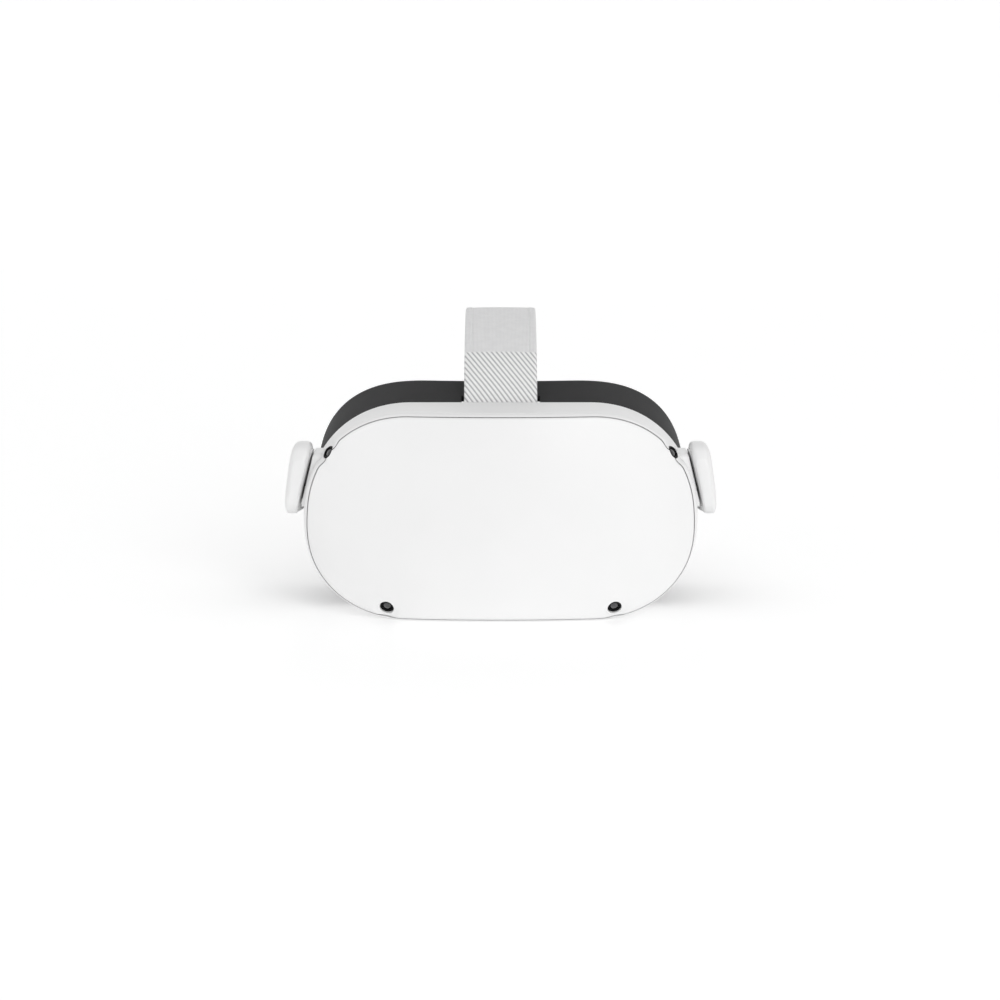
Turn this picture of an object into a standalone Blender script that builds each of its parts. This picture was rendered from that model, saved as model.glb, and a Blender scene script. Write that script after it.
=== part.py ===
"""A standalone VR headset: visor, optics, electronics, facial interface, side arms and fabric head strap.

Every size below is in millimetres; the mesh builders turn them into Blender's metres.
+X is the wearer's left, the front cover looks along -Y, and +Z is up.
The origin is the centre of the flat patch that the visor rests on.
"""

from math import acos, asin, atan2, cos, pi, radians, sin, sqrt

import bmesh
import bpy
from mathutils import Matrix, Vector

MM = 0.001
GAP = 0.4                    # clearance between neighbouring pieces

# Visor outline, seen from the front.
HALF_WIDTH = 86.4
COVER_TOP, VISOR_TOP = 92.1, 91.7  # the top wall falls a little towards the rear
MID_Z = 44.3                 # height of the widest part
CORNER_START = 39.4          # the outline is straight out to here
UPPER_POWER = 2.13           # superellipse power of the upper and lower corners
LOWER_POWER = 2.2

# Depths, front to back.
FRONT_Y = -34.0
FACE_RADIUS_X = 280.0        # the front cover is domed both ways
FACE_RADIUS_Z = 300.0
EDGE_RADIUS = 3.0            # the rounding of the visor's front edge
ROLL_DEPTH, ROLL_WIDTH, ROLL_HEIGHTS = 2.5, 13.0, (30.0, 72.0)  # the face rolls back, but not along the top
SEAM_INSETS, SEAM_HEIGHTS = (0.6, 1.5), (22.0, 50.0)  # the cover's seam nears the outline lower down
LEDGE_DEPTH = 3.0            # how deep the cover sits in the shell's rebate
WALL = 2.0
SHELL_REAR = 14.0
EYE_PLATE_Y = (3.4, 5.4)

# Optics.
EYE_Z = 47.0
HALF_IPD = 31.5
IPD_TRAVEL = 2.5             # each lens, from the middle position
LENS_RADIUS = 20.0
BARREL_RADIUS = 22.0
BARREL_Y = (-15.0, 9.0)
ROD_Y, ROD_RISE, ROD_RADIUS = -8.0, 24.5, 1.0
PINION_Z, PITCH_RADIUS, PINION_TEETH = 26.0, 4.0, 10
TOOTH_PITCH = 2 * pi * PITCH_RADIUS / PINION_TEETH
RACK_Y, RACK_TEETH = (-2.5, 0.5), 6

# Facial interface and its cushion.
INTERFACE_HALF_WIDTH = 84.5
INTERFACE_TOP = 97.7
INTERFACE_CORNER, INTERFACE_POWER = 30.0, 2.67
NOSE_RISE, NOSE_HALF_WIDTH = 33.0, 17.0
CUSHION_DEPTH = 11.0

# Side arms and their pivots.
PIVOT_Y, PIVOT_Z, PIN_RADIUS = -3.0, 60.5, 4.2
ARM_SLANT, OUTER_SLANT = 0.242, 0.135  # both faces lean out towards the arm's foot
BOSS_FACE = 84.6             # outer face of the shell's pivot bosses, at the pivot's height
ARM_FALL = 0.158             # the strap frame hangs down towards the rear, per mm of depth

# Head strap: the bands follow half an ellipse round the head.
HEAD_Y, HEAD_HALF_WIDTH, HEAD_LENGTH = 105.0, 89.6, 150.0
BAND_HEIGHT, BAND_THICK = 19.0, 2.2
CRADLE_EDGE = radians(61.5)
BAND_START, BAND_END = radians(-8), radians(61.2)
SLIDER_ANGLE = radians(51)
STRAP_HALF_WIDTH, STRAP_THICK, TAB_THICK = 16.35, 2.0, 1.4

# Tracking cameras: place on the cover and the way each looks, for the +X side.
CAMERAS = {
    "upper": (Vector((75.4, -19.8, 74.1)), Vector((0.733, -0.416, 0.538))),
    "lower": (Vector((49.8, -25.2, 6.3)), Vector((0.155, -0.822, -0.547))),
}
CAMERA_RADIUS, WINDOW_RADIUS = 3.0, 2.3
CAMERA_FLARE = {"upper": 1.3, "lower": 0.0}  # how far the opening round a camera widens
SIDES = {"left": 1, "right": -1}

FINISHES = {
    "white_plastic": ((0.88, 0.88, 0.88), 0.42, 0.0),
    "dark_plastic": ((0.035, 0.035, 0.037), 0.5, 0.0),
    "grey_plastic": ((0.30, 0.30, 0.31), 0.55, 0.0),
    "foam": ((0.02, 0.02, 0.022), 0.95, 0.0),
    "strap_fabric": ((0.62, 0.62, 0.62), 0.9, 0.0),
    "rib_fabric": ((0.86, 0.86, 0.86), 0.9, 0.0),
    "optic": ((0.75, 0.80, 0.82), 0.05, 0.0),
    "camera_glass": ((0.01, 0.01, 0.015), 0.05, 0.0),
    "aluminium": ((0.62, 0.63, 0.65), 0.35, 1.0),
    "steel": ((0.5, 0.5, 0.5), 0.3, 1.0),
    "circuit_board": ((0.02, 0.12, 0.06), 0.5, 0.0),
    "screen": ((0.01, 0.01, 0.012), 0.1, 0.0),
    "battery_wrap": ((0.05, 0.05, 0.06), 0.6, 0.0),
    "light_pipe": ((0.9, 0.95, 0.9), 0.2, 0.0),
}


# ---------------------------------------------------------------- builders

def clear_scene():
    for old in list(bpy.data.objects):
        bpy.data.objects.remove(old, do_unlink=True)


def finish_material(name):
    """The named finish as a Principled material, made once."""
    found = bpy.data.materials.get(name)
    if found:
        return found
    colour, roughness, metallic = FINISHES[name]
    made = bpy.data.materials.new(name)
    made.use_nodes = True
    shader = made.node_tree.nodes["Principled BSDF"]
    shader.inputs["Base Color"].default_value = (*colour, 1)
    shader.inputs["Roughness"].default_value = roughness
    shader.inputs["Metallic"].default_value = metallic
    return made


def warped(face):
    """Whether a face of more than three corners is out of flat."""
    centre = face.calc_center_median()
    return len(face.verts) > 3 and any(abs((v.co - centre).dot(face.normal)) > 1e-4 for v in face.verts)


def add_object(name, mesh_tool, finish, origin=(0, 0, 0), turn=None):
    """Turns a bmesh in millimetres into an object; its origin is a point of the model."""
    bmesh.ops.recalc_face_normals(mesh_tool, faces=mesh_tool.faces)
    bmesh.ops.triangulate(mesh_tool, faces=[face for face in mesh_tool.faces if warped(face)])
    mesh = bpy.data.meshes.new(name)
    bmesh.ops.transform(mesh_tool, matrix=Matrix.Scale(MM, 4), verts=mesh_tool.verts)
    mesh_tool.to_mesh(mesh)
    mesh_tool.free()
    mesh.shade_smooth()
    mesh.set_sharp_from_angle(angle=radians(40))
    made = bpy.data.objects.new(name, mesh)
    bpy.context.scene.collection.objects.link(made)
    made.location = Vector(origin) * MM
    if turn is not None:
        made.rotation_euler = turn.to_euler()
    if finish:
        mesh.materials.append(finish_material(finish))
    return made


def loft(name, rings, finish, origin=(0, 0, 0), closed=False, turn=None):
    """Skins rings of equal length. A closed loft joins its last ring to its first; an open one is capped."""
    tool = bmesh.new()
    shift = Vector((0, 0, 0)) if turn is not None else Vector(origin)
    rows = [[tool.verts.new(Vector(p) - shift) for p in ring] for ring in rings]
    pairs = list(zip(rows, rows[1:]))
    if closed:
        pairs.append((rows[-1], rows[0]))
    for first, second in pairs:
        for k in range(len(first)):
            n = (k + 1) % len(first)
            tool.faces.new((first[k], first[n], second[n], second[k]))
    if not closed:
        tool.faces.new(rows[0])
        tool.faces.new(rows[-1])
    return add_object(name, tool, finish, origin, turn)


def circle(radius, count):
    return [(radius * cos(2 * pi * k / count), radius * sin(2 * pi * k / count)) for k in range(count)]


def turned(name, profile, finish, origin, axis, count=24):
    """A turned piece: profile is (radius, distance along axis), and a first and last radius of 0 close it."""
    tool = bmesh.new()
    rows = []
    for radius, along in profile:
        if radius == 0:
            rows.append([tool.verts.new((0, 0, along))])
        else:
            rows.append([tool.verts.new((x, y, along)) for x, y in circle(radius, count)])
    whole = profile[0][0] == 0
    pairs = list(zip(rows, rows[1:])) + ([] if whole else [(rows[-1], rows[0])])
    for first, second in pairs:
        for k in range(count):
            n = (k + 1) % count
            corners = [first[k % len(first)], first[n % len(first)], second[n % len(second)], second[k % len(second)]]
            tool.faces.new(list(dict.fromkeys(corners)))
    turn = Vector(axis).to_track_quat("Z", "Y")
    return add_object(name, tool, finish, origin, turn)


def ring_prism(name, outer, inner, y_range, finish, origin):
    """A plate across Y with one hole: both outlines are (x, z) about the origin and of equal length."""
    low, high = (y - origin[1] for y in y_range)
    rings = [[(x, y, z) for x, z in line] for line, y in ((outer, low), (outer, high), (inner, high), (inner, low))]
    placed = [[Vector(p) + Vector(origin) for p in ring] for ring in rings]
    return loft(name, placed, finish, origin, closed=True)


def box(name, low, high, finish, bevel=0.0, origin=None):
    """A box between two corners, with its edges rounded by bevel."""
    tool = bmesh.new()
    bmesh.ops.create_cube(tool, size=1)
    size = [b - a for a, b in zip(low, high)]
    middle = Vector([(a + b) / 2 for a, b in zip(low, high)])
    centre = middle if origin is None else Vector(origin)
    bmesh.ops.scale(tool, vec=size, verts=tool.verts)
    bmesh.ops.translate(tool, vec=middle - centre, verts=tool.verts)
    if bevel:
        bmesh.ops.bevel(tool, geom=tool.edges[:], offset=bevel, segments=2, affect="EDGES", profile=0.5)
    return add_object(name, tool, finish, centre)


def prism(name, outline, plane, span, finish=None):
    """Extrudes a flat outline. Plane is 'XZ' for points (x, z) swept along Y, or 'YZ' for (y, z) along X."""
    rings = []
    for along in span:
        if plane == "XZ":
            rings.append([(a, along, b) for a, b in outline])
        else:
            rings.append([(along, a, b) for a, b in outline])
    return loft(name, rings, finish)


def helper(cutter):
    cutter.hide_render = True
    cutter.display_type = "WIRE"
    return cutter


def boolean(target, other, operation):
    modifier = target.modifiers.new(f"{operation.lower()}_{other.name}", "BOOLEAN")
    modifier.operation = operation
    modifier.solver = "EXACT"
    modifier.object = helper(other)


def cut(target, *cutters):
    for cutter in cutters:
        boolean(target, cutter, "DIFFERENCE")


def join(target, *others):
    for other in others:
        boolean(target, other, "UNION")


# ---------------------------------------------------------------- visor outline

def outline(half_width, low, high, upper_power=UPPER_POWER, nose=0.0, corner=CORNER_START, steps=8):
    """The rounded visor outline as (x, z), anticlockwise from the widest point at +X, with an arch for the nose."""
    reach = half_width - corner
    points = []
    for quarter in range(4):
        rises = quarter < 2
        side = 1 if quarter in (0, 3) else -1
        power = upper_power if rises else LOWER_POWER
        height = high - MID_Z if rises else low - MID_Z
        angles = [k * pi / 2 / steps for k in range(steps + 1)]
        if quarter in (1, 3):
            angles.reverse()
        arc = [
            (side * (corner + reach * cos(a) ** (2 / power)), MID_Z + height * sin(a) ** (2 / power))
            for a in angles
        ]
        points += arc if quarter in (0, 2) else arc[:-1]
        if quarter in (0, 2):
            flat = 4 if quarter == 0 else 10
            for k in range(1, flat):
                x = side * corner * (1 - 2 * k / flat)
                arch = nose * max(0.0, 1 - (x / NOSE_HALF_WIDTH / 1.5) ** 2) ** 2 if quarter == 2 else 0
                points.append((x, (high if rises else low) + arch))
    return [p for k, p in enumerate(points) if k == 0 or p != points[k - 1]]


def inset_outline(inset, top=COVER_TOP):
    return outline(HALF_WIDTH - inset, inset, top - inset)


def face_y(x, z):
    """Depth of the domed front surface."""
    return FRONT_Y + x * x / (2 * FACE_RADIUS_X) + (z - MID_Z) ** 2 / (2 * FACE_RADIUS_Z)


def eased(z, heights):
    """0 below the first height, 1 above the second and smooth between."""
    t = min(1.0, max(0.0, (z - heights[0]) / (heights[1] - heights[0])))
    return t * t * (3 - 2 * t)


def rim(inset, along_seam=0.0, depth=None):
    """A ring near the front edge, on its rounding or at a depth; along_seam adds a share of the seam's inset."""
    ring = []
    for (x0, z0), (x1, z1) in zip(inset_outline(0), inset_outline(1)):
        low, high = SEAM_INSETS
        at = inset + along_seam * (low + (high - low) * eased(z0, SEAM_HEIGHTS))
        x, z = x0 + (x1 - x0) * at, z0 + (z1 - z0) * at
        turn_in = max(0.0, EDGE_RADIUS - at)
        back = EDGE_RADIUS - sqrt(EDGE_RADIUS ** 2 - turn_in ** 2) if depth is None else depth
        roll = ROLL_DEPTH * max(0.0, 1 - at / ROLL_WIDTH) ** 2 * (1 - eased(z0, ROLL_HEIGHTS))
        ring.append((x, face_y(x, z) + back + roll, z))
    return ring


def middle(share, back):
    """A ring on the face inside its rolled edge."""
    line = [(x * share, MID_Z + (z - MID_Z) * share) for x, z in inset_outline(ROLL_WIDTH)]
    return [(x, face_y(x, z) + back, z) for x, z in line]


def visor_half_width(z):
    """Half-width of the visor outline at height z."""
    power = UPPER_POWER if z > MID_Z else LOWER_POWER
    height = VISOR_TOP - MID_Z if z > MID_Z else MID_Z
    share = (1 - (abs(z - MID_Z) / height) ** power) ** (1 / power)
    return CORNER_START + (HALF_WIDTH - CORNER_START) * share


# ---------------------------------------------------------------- casing

def front_cover():
    outer = [rim(GAP, 1.0), rim(1.5, 0.5), rim(EDGE_RADIUS), rim(7.0), rim(ROLL_WIDTH)]
    inner = [rim(GAP, 1.0, LEDGE_DEPTH - GAP), rim(EDGE_RADIUS, 0.0, LEDGE_DEPTH - GAP),
             rim(EDGE_RADIUS + 1, 0.0, WALL), rim(ROLL_WIDTH, 0.0, WALL)]
    rings = [middle(0.3, 0), middle(0.7, 0)] + outer[::-1] + inner + [middle(0.7, WALL), middle(0.3, WALL)]
    cover = loft("front_cover", rings, "white_plastic")
    cut(cover, *camera_cutters("cover"))


def camera_cutters(label):
    """One round cutter for each tracking camera."""
    made = []
    for place, (spot, aim) in CAMERAS.items():
        for side, sign in SIDES.items():
            centre = Vector((spot.x * sign, spot.y, spot.z))
            way = Vector((aim.x * sign, aim.y, aim.z))
            hole, flare = CAMERA_RADIUS + GAP, CAMERA_FLARE[place]
            profile = [(0, -9), (hole, -9), (hole, 0.1), (hole + flare, 0.1 + flare), (hole + flare, 8), (0, 8)]
            made.append(turned(f"cut_{label}_{place}_{side}", profile, None, centre, way, 20))
    return made


def main_shell():
    def flat(inset, y):
        top = COVER_TOP + (VISOR_TOP - COVER_TOP) * (y + 20) / (SHELL_REAR + 20)
        return [(x, y, z) for x, z in inset_outline(inset, top)]

    rings = [
        rim(0, 1.0), rim(0, 0.5), rim(0, 0.12), rim(0),
        flat(0, 0.0), flat(0, SHELL_REAR - 1.2), flat(0.4, SHELL_REAR - 0.3), flat(1.1, SHELL_REAR),
        flat(WALL, SHELL_REAR - 0.2), flat(WALL, 0.0),
        rim(WALL, 0.0, LEDGE_DEPTH + 2.0), rim(WALL + 0.8, 0.0, LEDGE_DEPTH + 1.2),
        rim(WALL + 0.8, 0.0, LEDGE_DEPTH), rim(0, 1.0, LEDGE_DEPTH),
    ]
    shell = loft("main_shell", rings, "white_plastic", closed=True)
    join(shell, *(pivot_boss(side, sign) for side, sign in SIDES.items()))
    cut(shell, *camera_cutters("shell"))
    for side, sign in SIDES.items():
        span = [(0, -6), (PIN_RADIUS + GAP, -6), (PIN_RADIUS + GAP, 6), (0, 6)]
        centre = (sign * visor_half_width(PIVOT_Z), PIVOT_Y, PIVOT_Z)
        cut(shell, turned(f"cut_pivot_{side}", span, None, centre, (1, 0, 0), 20))
    cut(shell, capsule_cutter("cut_usb", *USB_SPOT, 4.9, 2.1), capsule_cutter("cut_power", *POWER_SPOT, 5.3, 2.2))
    cut(shell, turned("cut_jack", [(0, -6), (2.9, -6), (2.9, 6), (0, 6)], None, side_point(*JACK_SPOT), (1, 0, 0), 20))
    cut(shell, turned("cut_light", [(0, -6), (1.1, -6), (1.1, 6), (0, 6)], None, side_point(*LIGHT_SPOT), (1, 0, 0), 12))
    cut(shell, rocker_shape("cut_rocker", ROCKER_HALF + GAP, 2.4, 6, 4, None, (0, 0, 0)))
    for k in range(7):
        x = (k - 3) * 7.0
        low, high = (x - 1.1, -14.0, -2.0), (x + 1.1, -4.0, 4.0)
        cut(shell, box(f"cut_vent_{k}", low, high, None))


def pivot_boss(side, sign):
    """The wedge that fills in between the shell's curved side and an arm's leaning inner face."""
    rings = []
    for y, low, high in ((-13.0, 52.0, 69.5), (-11.5, 49.5, 71.9), (-6.0, 48.5, 72.5), (4.0, 48.5, 72.5),
                         (8.5, 50.0, 71.5)):
        outer = [(BOSS_FACE - ARM_SLANT * (z - PIVOT_Z), z) for z in (low, high)]
        inner = [(visor_half_width(z) - 1.2, z) for z in (high, (high + low) / 2, low)]
        rings.append([(sign * x, y, z) for x, z in outer + inner])
    return loft(f"boss_{side}", rings, None)


# Places on the shell's sides: sign of x, depth and height.
USB_SPOT = (1, -3.0, 38.0)
JACK_SPOT = (1, -3.0, 27.0)
POWER_SPOT = (-1, -3.0, 36.0)
LIGHT_SPOT = (-1, -3.0, 27.0)


def side_point(sign, y, z, out=0.0):
    return (sign * (visor_half_width(z) + out), y, z)


def capsule(half_length, radius, count=8):
    """A round-ended slot as (along, across), its length along the first axis."""
    points = []
    for k in range(2 * count + 2):
        end = 1 if k <= count else -1
        a = -pi / 2 + pi * (k if k <= count else k - 1) / count
        points.append((end * (half_length - radius) + radius * cos(a), radius * sin(a)))
    return points


def capsule_cutter(name, sign, y, z, half_length, radius):
    line = [(y + a, z + b) for a, b in capsule(half_length, radius)]
    x = sign * visor_half_width(z)
    return prism(name, line, "YZ", (x - 6, x + 6))


ROCKER_X, ROCKER_Y, ROCKER_HALF = -60.0, -6.0, 9.0


def lower_wall(x):
    """Height of the shell's lower corner at x < 0, and the outward normal there in (x, z)."""
    share = (-x - CORNER_START) / (HALF_WIDTH - CORNER_START)
    left = 1 - share ** LOWER_POWER
    slope = -MID_Z / (HALF_WIDTH - CORNER_START) * share ** (LOWER_POWER - 1) * left ** (1 / LOWER_POWER - 1)
    return MID_Z * (1 - left ** (1 / LOWER_POWER)), Vector((slope, -1)).normalized()


def rocker_shape(name, half, across, deep, proud, finish, origin):
    """A bar that follows the lower corner: from deep inside the wall to proud of it, with narrowed ends."""
    rings = []
    for k in range(-4, 5):
        x = ROCKER_X + half * k / 4
        z, normal = lower_wall(x)
        wide = across * (0.55 if abs(k) == 4 else 1)
        ring = []
        for out, y in ((-deep, -wide), (-deep, wide), (proud, wide), (proud, -wide)):
            ring.append((x + normal.x * out, ROCKER_Y + y, z + normal.y * out))
        rings.append(ring)
    return loft(name, rings, finish, origin)


def eye_plate():
    line = inset_outline(WALL + GAP, VISOR_TOP)
    rings = [[(x, y, z) for x, z in line] for y in EYE_PLATE_Y]
    plate = loft("eye_plate", rings, "grey_plastic")
    for side, sign in SIDES.items():
        slot = capsule(BARREL_RADIUS + IPD_TRAVEL + 0.9, BARREL_RADIUS + 0.6, 14)
        shape = [(sign * HALF_IPD + a, EYE_Z + b) for a, b in slot]
        cut(plate, prism(f"cut_eye_{side}", shape, "XZ", (0, 8)))
    for name, (x, z) in screw_places().items():
        profile = [(0, -6), (1.3, -6), (1.3, 6), (0, 6)]
        cut(plate, turned(f"cut_{name}", profile, None, (x, EYE_PLATE_Y[1], z), (0, 1, 0), 12))


def screw_places():
    places = {}
    for row, z in (("upper", 72.0), ("lower", 19.0)):
        for side, sign in SIDES.items():
            places[f"plate_screw_{row}_{side}"] = (sign * 66.0, z)
    return places


def plate_screws():
    for name, (x, z) in screw_places().items():
        rear = EYE_PLATE_Y[1] + GAP
        profile = [(0, -6), (0.9, -6), (0.9, 0), (2.0, 0), (2.0, 0.9), (1.5, 1.4), (0.8, 1.4), (0.8, 0.7), (0, 0.7)]
        turned(name, profile, "steel", (x, rear, z), (0, 1, 0), 12)


# ---------------------------------------------------------------- electronics

def chassis_frame():
    line = outline(68.0, 14.0, 82.0)
    rings = [[(x, y, z) for x, z in line] for y in (-21.3, -19.9)]
    frame = loft("chassis_frame", rings, "aluminium")
    for row in (-1, 1):
        for sign in SIDES.values():
            z = EYE_Z + row * ROD_RISE
            low, high = (sign * 62.5 - 1.5, -20.5, z - 3), (sign * 62.5 + 1.5, ROD_Y + 3, z + 3)
            lug = box(f"lug_{row}_{sign}", low, high, None)
            join(frame, lug)
    for row in (-1, 1):
        span = [(0, -70), (ROD_RADIUS + 0.35, -70), (ROD_RADIUS + 0.35, 70), (0, 70)]
        cut(frame, turned(f"cut_rod_{row}", span, None, (0, ROD_Y, EYE_Z + row * ROD_RISE), (1, 0, 0), 12))


def guide_rods():
    for row, label in ((1, "upper"), (-1, "lower")):
        span = [(0, -66), (ROD_RADIUS, -66), (ROD_RADIUS, 66), (0, 66)]
        turned(f"{label}_guide_rod", span, "steel", (0, ROD_Y, EYE_Z + row * ROD_RISE), (1, 0, 0), 12)


def electronics():
    box("display_panel", (-58, -19.5, 15), (58, -17.3, 79), "screen", 0.4)
    board = box("main_board", (-54, -22.9, 26), (54, -21.7, 77), "circuit_board")
    for sign in SIDES.values():
        cut(board, box(f"cut_board_{sign}", (sign * 52 - 6, -25, 66), (sign * 52 + 6, -20, 80), None))
    box("processor_shield", (20, -24.4, 38), (44, -23.2, 66), "aluminium", 0.4)
    box("battery_cell", (-77.0, -15, 29), (-58, 0, 65), "battery_wrap", 2.0)
    box("proximity_sensor", (-5, 5.8, 73), (5, 7.2, 77), "camera_glass", 0.5)
    heat_sink()
    heat_pipe()
    fan()
    ports()


def heat_sink():
    fins, pitch, left = 7, 3.2, -42.0
    sink = box("heat_sink", (left, -24.4, 27), (left + 22.5, -23.2, 69), "aluminium")
    for k in range(fins):
        x = left + 0.5 + k * pitch
        join(sink, box(f"fin_{k}", (x, -27.2, 37), (x + 0.9, -24.0, 68), None))


def heat_pipe():
    """A round pipe from the processor shield, under the fan, to the heat sink."""
    route = [(32, 60), (32, 46), (31, 36), (26, 31), (16, 30), (0, 30), (-18, 30), (-36, 30)]
    spots = smooth_route([Vector((x, -26.0, z)) for x, z in route], 4)
    curve_tube("heat_pipe", spots, 1.1, "aluminium")


def smooth_route(points, steps):
    """Points on a smooth curve through the given ones, Catmull-Rom."""
    ends = [2 * points[0] - points[1], *points, 2 * points[-1] - points[-2]]
    made = []
    for a, b, c, d in zip(ends, ends[1:], ends[2:], ends[3:]):
        for k in range(steps):
            t = k / steps
            made.append(
                0.5 * (2 * b + (c - a) * t + (2 * a - 5 * b + 4 * c - d) * t ** 2 + (3 * b - a - 3 * c + d) * t ** 3)
            )
    return made + [points[-1]]


def curve_tube(name, points, radius, finish):
    curve = bpy.data.curves.new(name, "CURVE")
    curve.dimensions = "3D"
    curve.bevel_depth = radius * MM
    curve.bevel_resolution = 2
    curve.use_fill_caps = True
    spline = curve.splines.new("POLY")
    spline.points.add(len(points) - 1)
    for spot, point in zip(spline.points, points):
        spot.co = (*(point * MM), 1)
    curve.materials.append(finish_material(finish))
    made = bpy.data.objects.new(name, curve)
    bpy.context.scene.collection.objects.link(made)


FAN_CENTRE = (0.0, -26.5, 52.0)
FAN_HALF, FAN_BORE, FAN_BLADES = 16.5, 14.8, 9


def fan():
    x, _, z = FAN_CENTRE
    housing = box("fan_housing", (x - FAN_HALF, -29.6, z - FAN_HALF), (x + FAN_HALF, -23.4, z + FAN_HALF),
                  "dark_plastic", 1.2)
    bore = [(0, -4), (FAN_BORE, -4), (FAN_BORE, 2.2), (0, 2.2)]
    cut(housing, turned("cut_fan", bore, None, FAN_CENTRE, (0, 1, 0), 28))
    post = [(0, -2.6), (1.2, -2.6), (1.2, 2.8), (0, 2.8)]
    join(housing, turned("fan_post", post, None, FAN_CENTRE, (0, 1, 0), 12))
    outer, inner = [], []
    for k in range(FAN_BLADES):
        for radius, shift in ((6.0, 0.0), (6.0, 0.24), (14.1, 0.36), (14.1, 0.46), (6.0, 0.40)):
            a = 2 * pi * k / FAN_BLADES + shift
            outer.append((radius * cos(a), radius * sin(a)))
    count = len(outer)
    for k in range(count):
        a = atan2(outer[k][1], outer[k][0])
        inner.append((1.6 * cos(a), 1.6 * sin(a)))
    ring_prism("fan_rotor", outer, inner, (-28.8, -24.9), "dark_plastic", FAN_CENTRE)


def ports():
    sign, y, z = USB_SPOT
    x = visor_half_width(z) - 0.6
    outer = [(y + a, z + b) for a, b in capsule(4.5, 1.65)]
    inner = [(y + a, z + b) for a, b in capsule(4.1, 1.25)]
    rings = [[(at, a, b) for a, b in line] for line, at in ((outer, x - 7), (outer, x), (inner, x), (inner, x - 6))]
    loft("usb_port", rings, "steel")
    sign, y, z = JACK_SPOT
    profile = [(0, -10), (2.5, -10), (2.5, 0), (1.75, 0), (1.75, -8), (0, -8)]
    turned("audio_jack", profile, "dark_plastic", side_point(sign, y, z, -0.3), (1, 0, 0), 20)
    sign, y, z = LIGHT_SPOT
    turned("status_light", [(0, -4), (0.75, -4), (0.75, 0), (0, 0)], "light_pipe", side_point(sign, y, z, -0.2),
           (-1, 0, 0), 12)


def tracking_cameras():
    for place, (spot, aim) in CAMERAS.items():
        for side, sign in SIDES.items():
            centre = Vector((spot.x * sign, spot.y, spot.z))
            way = Vector((aim.x * sign, aim.y, aim.z))
            r = CAMERA_RADIUS
            barrel = [(0, -7), (r, -7), (r, -0.2), (r - 0.3, 0), (WINDOW_RADIUS + 0.3, 0), (WINDOW_RADIUS + 0.3, -1.8),
                      (0, -1.8)]
            turned(f"tracking_camera_{place}_{side}", barrel, "dark_plastic", centre, way, 20)
            glass = [(0, -1.5), (WINDOW_RADIUS, -1.5), (WINDOW_RADIUS, -0.6), (1.2, -0.25), (0, -0.15)]
            turned(f"camera_window_{place}_{side}", glass, "camera_glass", centre, way, 20)


# ---------------------------------------------------------------- buttons

def buttons():
    sign, y, z = POWER_SPOT
    line = [(y + a, z + b) for a, b in capsule(4.9, 1.8)]
    x = sign * visor_half_width(z)
    rings = [[(at, (a - y) * grow + y, (b - z) * grow + z) for a, b in line]
             for at, grow in ((x + 3.2, 1), (x - 0.5, 1), (x - 0.8, 0.9))]
    loft("power_button", rings, "white_plastic", (x, y, z))
    z, _ = lower_wall(ROCKER_X)
    rocker_shape("volume_rocker", ROCKER_HALF, 2.0, 2.8, 0.6, "white_plastic", (ROCKER_X, ROCKER_Y, z + 2.0))


# ---------------------------------------------------------------- optics

def rack_teeth(count, centre_x, z, towards):
    """The toothed edge of a rack as (x, z): a gap is centred on x, and the teeth point towards +1 or -1."""
    tip, root = 0.6, 0.95
    edge = []
    for k in range(-count // 2, count // 2):
        x = centre_x + (k + 0.5) * TOOTH_PITCH
        edge += [(x - 0.78, z - towards * root), (x - 0.26, z + towards * tip), (x + 0.26, z + towards * tip),
                 (x + 0.78, z - towards * root)]
    return edge


def lens_barrels():
    for side, sign in SIDES.items():
        centre = (sign * HALF_IPD, 0, EYE_Z)
        front, rear = BARREL_Y
        r = BARREL_RADIUS
        profile = [(r, front), (r, rear - 1), (r - 0.8, rear), (LENS_RADIUS + 0.5, rear), (LENS_RADIUS + 0.4, 1.6),
                   (LENS_RADIUS - 1.4, 1.2), (LENS_RADIUS - 1.4, front)]
        barrel = turned(f"{side}_lens_barrel", profile, "dark_plastic", centre, (0, 1, 0), 40)
        for row in (-1, 1):
            z = EYE_Z + row * ROD_RISE
            low = (sign * HALF_IPD - 5, ROD_Y - 3, min(z - 3, z - row * 4.5))
            high = (sign * HALF_IPD + 5, ROD_Y + 3, max(z + 3, z - row * 4.5))
            join(barrel, box(f"ear_{side}_{row}", low, high, None))
        join(barrel, rack(side, sign))
        for row in (-1, 1):
            bore = [(0, -9), (ROD_RADIUS + 0.35, -9), (ROD_RADIUS + 0.35, 9), (0, 9)]
            spot = (sign * HALF_IPD, ROD_Y, EYE_Z + row * ROD_RISE)
            cut(barrel, turned(f"cut_ear_{side}_{row}", bore, None, spot, (1, 0, 0), 12))
        lens(side, centre)


def rack(side, sign):
    """The toothed arm of a barrel: the left one runs above the pinion and the right one below it."""
    pitch_z = PINION_Z + sign * PITCH_RADIUS
    teeth = rack_teeth(RACK_TEETH, 0, pitch_z, -sign)
    back = pitch_z + sign * 3.2
    reach = RACK_TEETH * TOOTH_PITCH / 2 + 0.6
    if side == "left":
        foot = [(reach + 9.0, pitch_z + sign * 0.95), (reach + 9.0, back), (-reach, back),
                (-reach, pitch_z + sign * 0.95)]
    else:
        foot = [(reach, pitch_z + sign * 0.95), (reach, back), (-HALF_IPD - 4, back), (-HALF_IPD - 4, 26.2),
                (-HALF_IPD + 2, 26.2), (-HALF_IPD + 2, pitch_z + sign * 0.95)]
    return prism(f"rack_{side}", teeth + foot, "XZ", RACK_Y)


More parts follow.
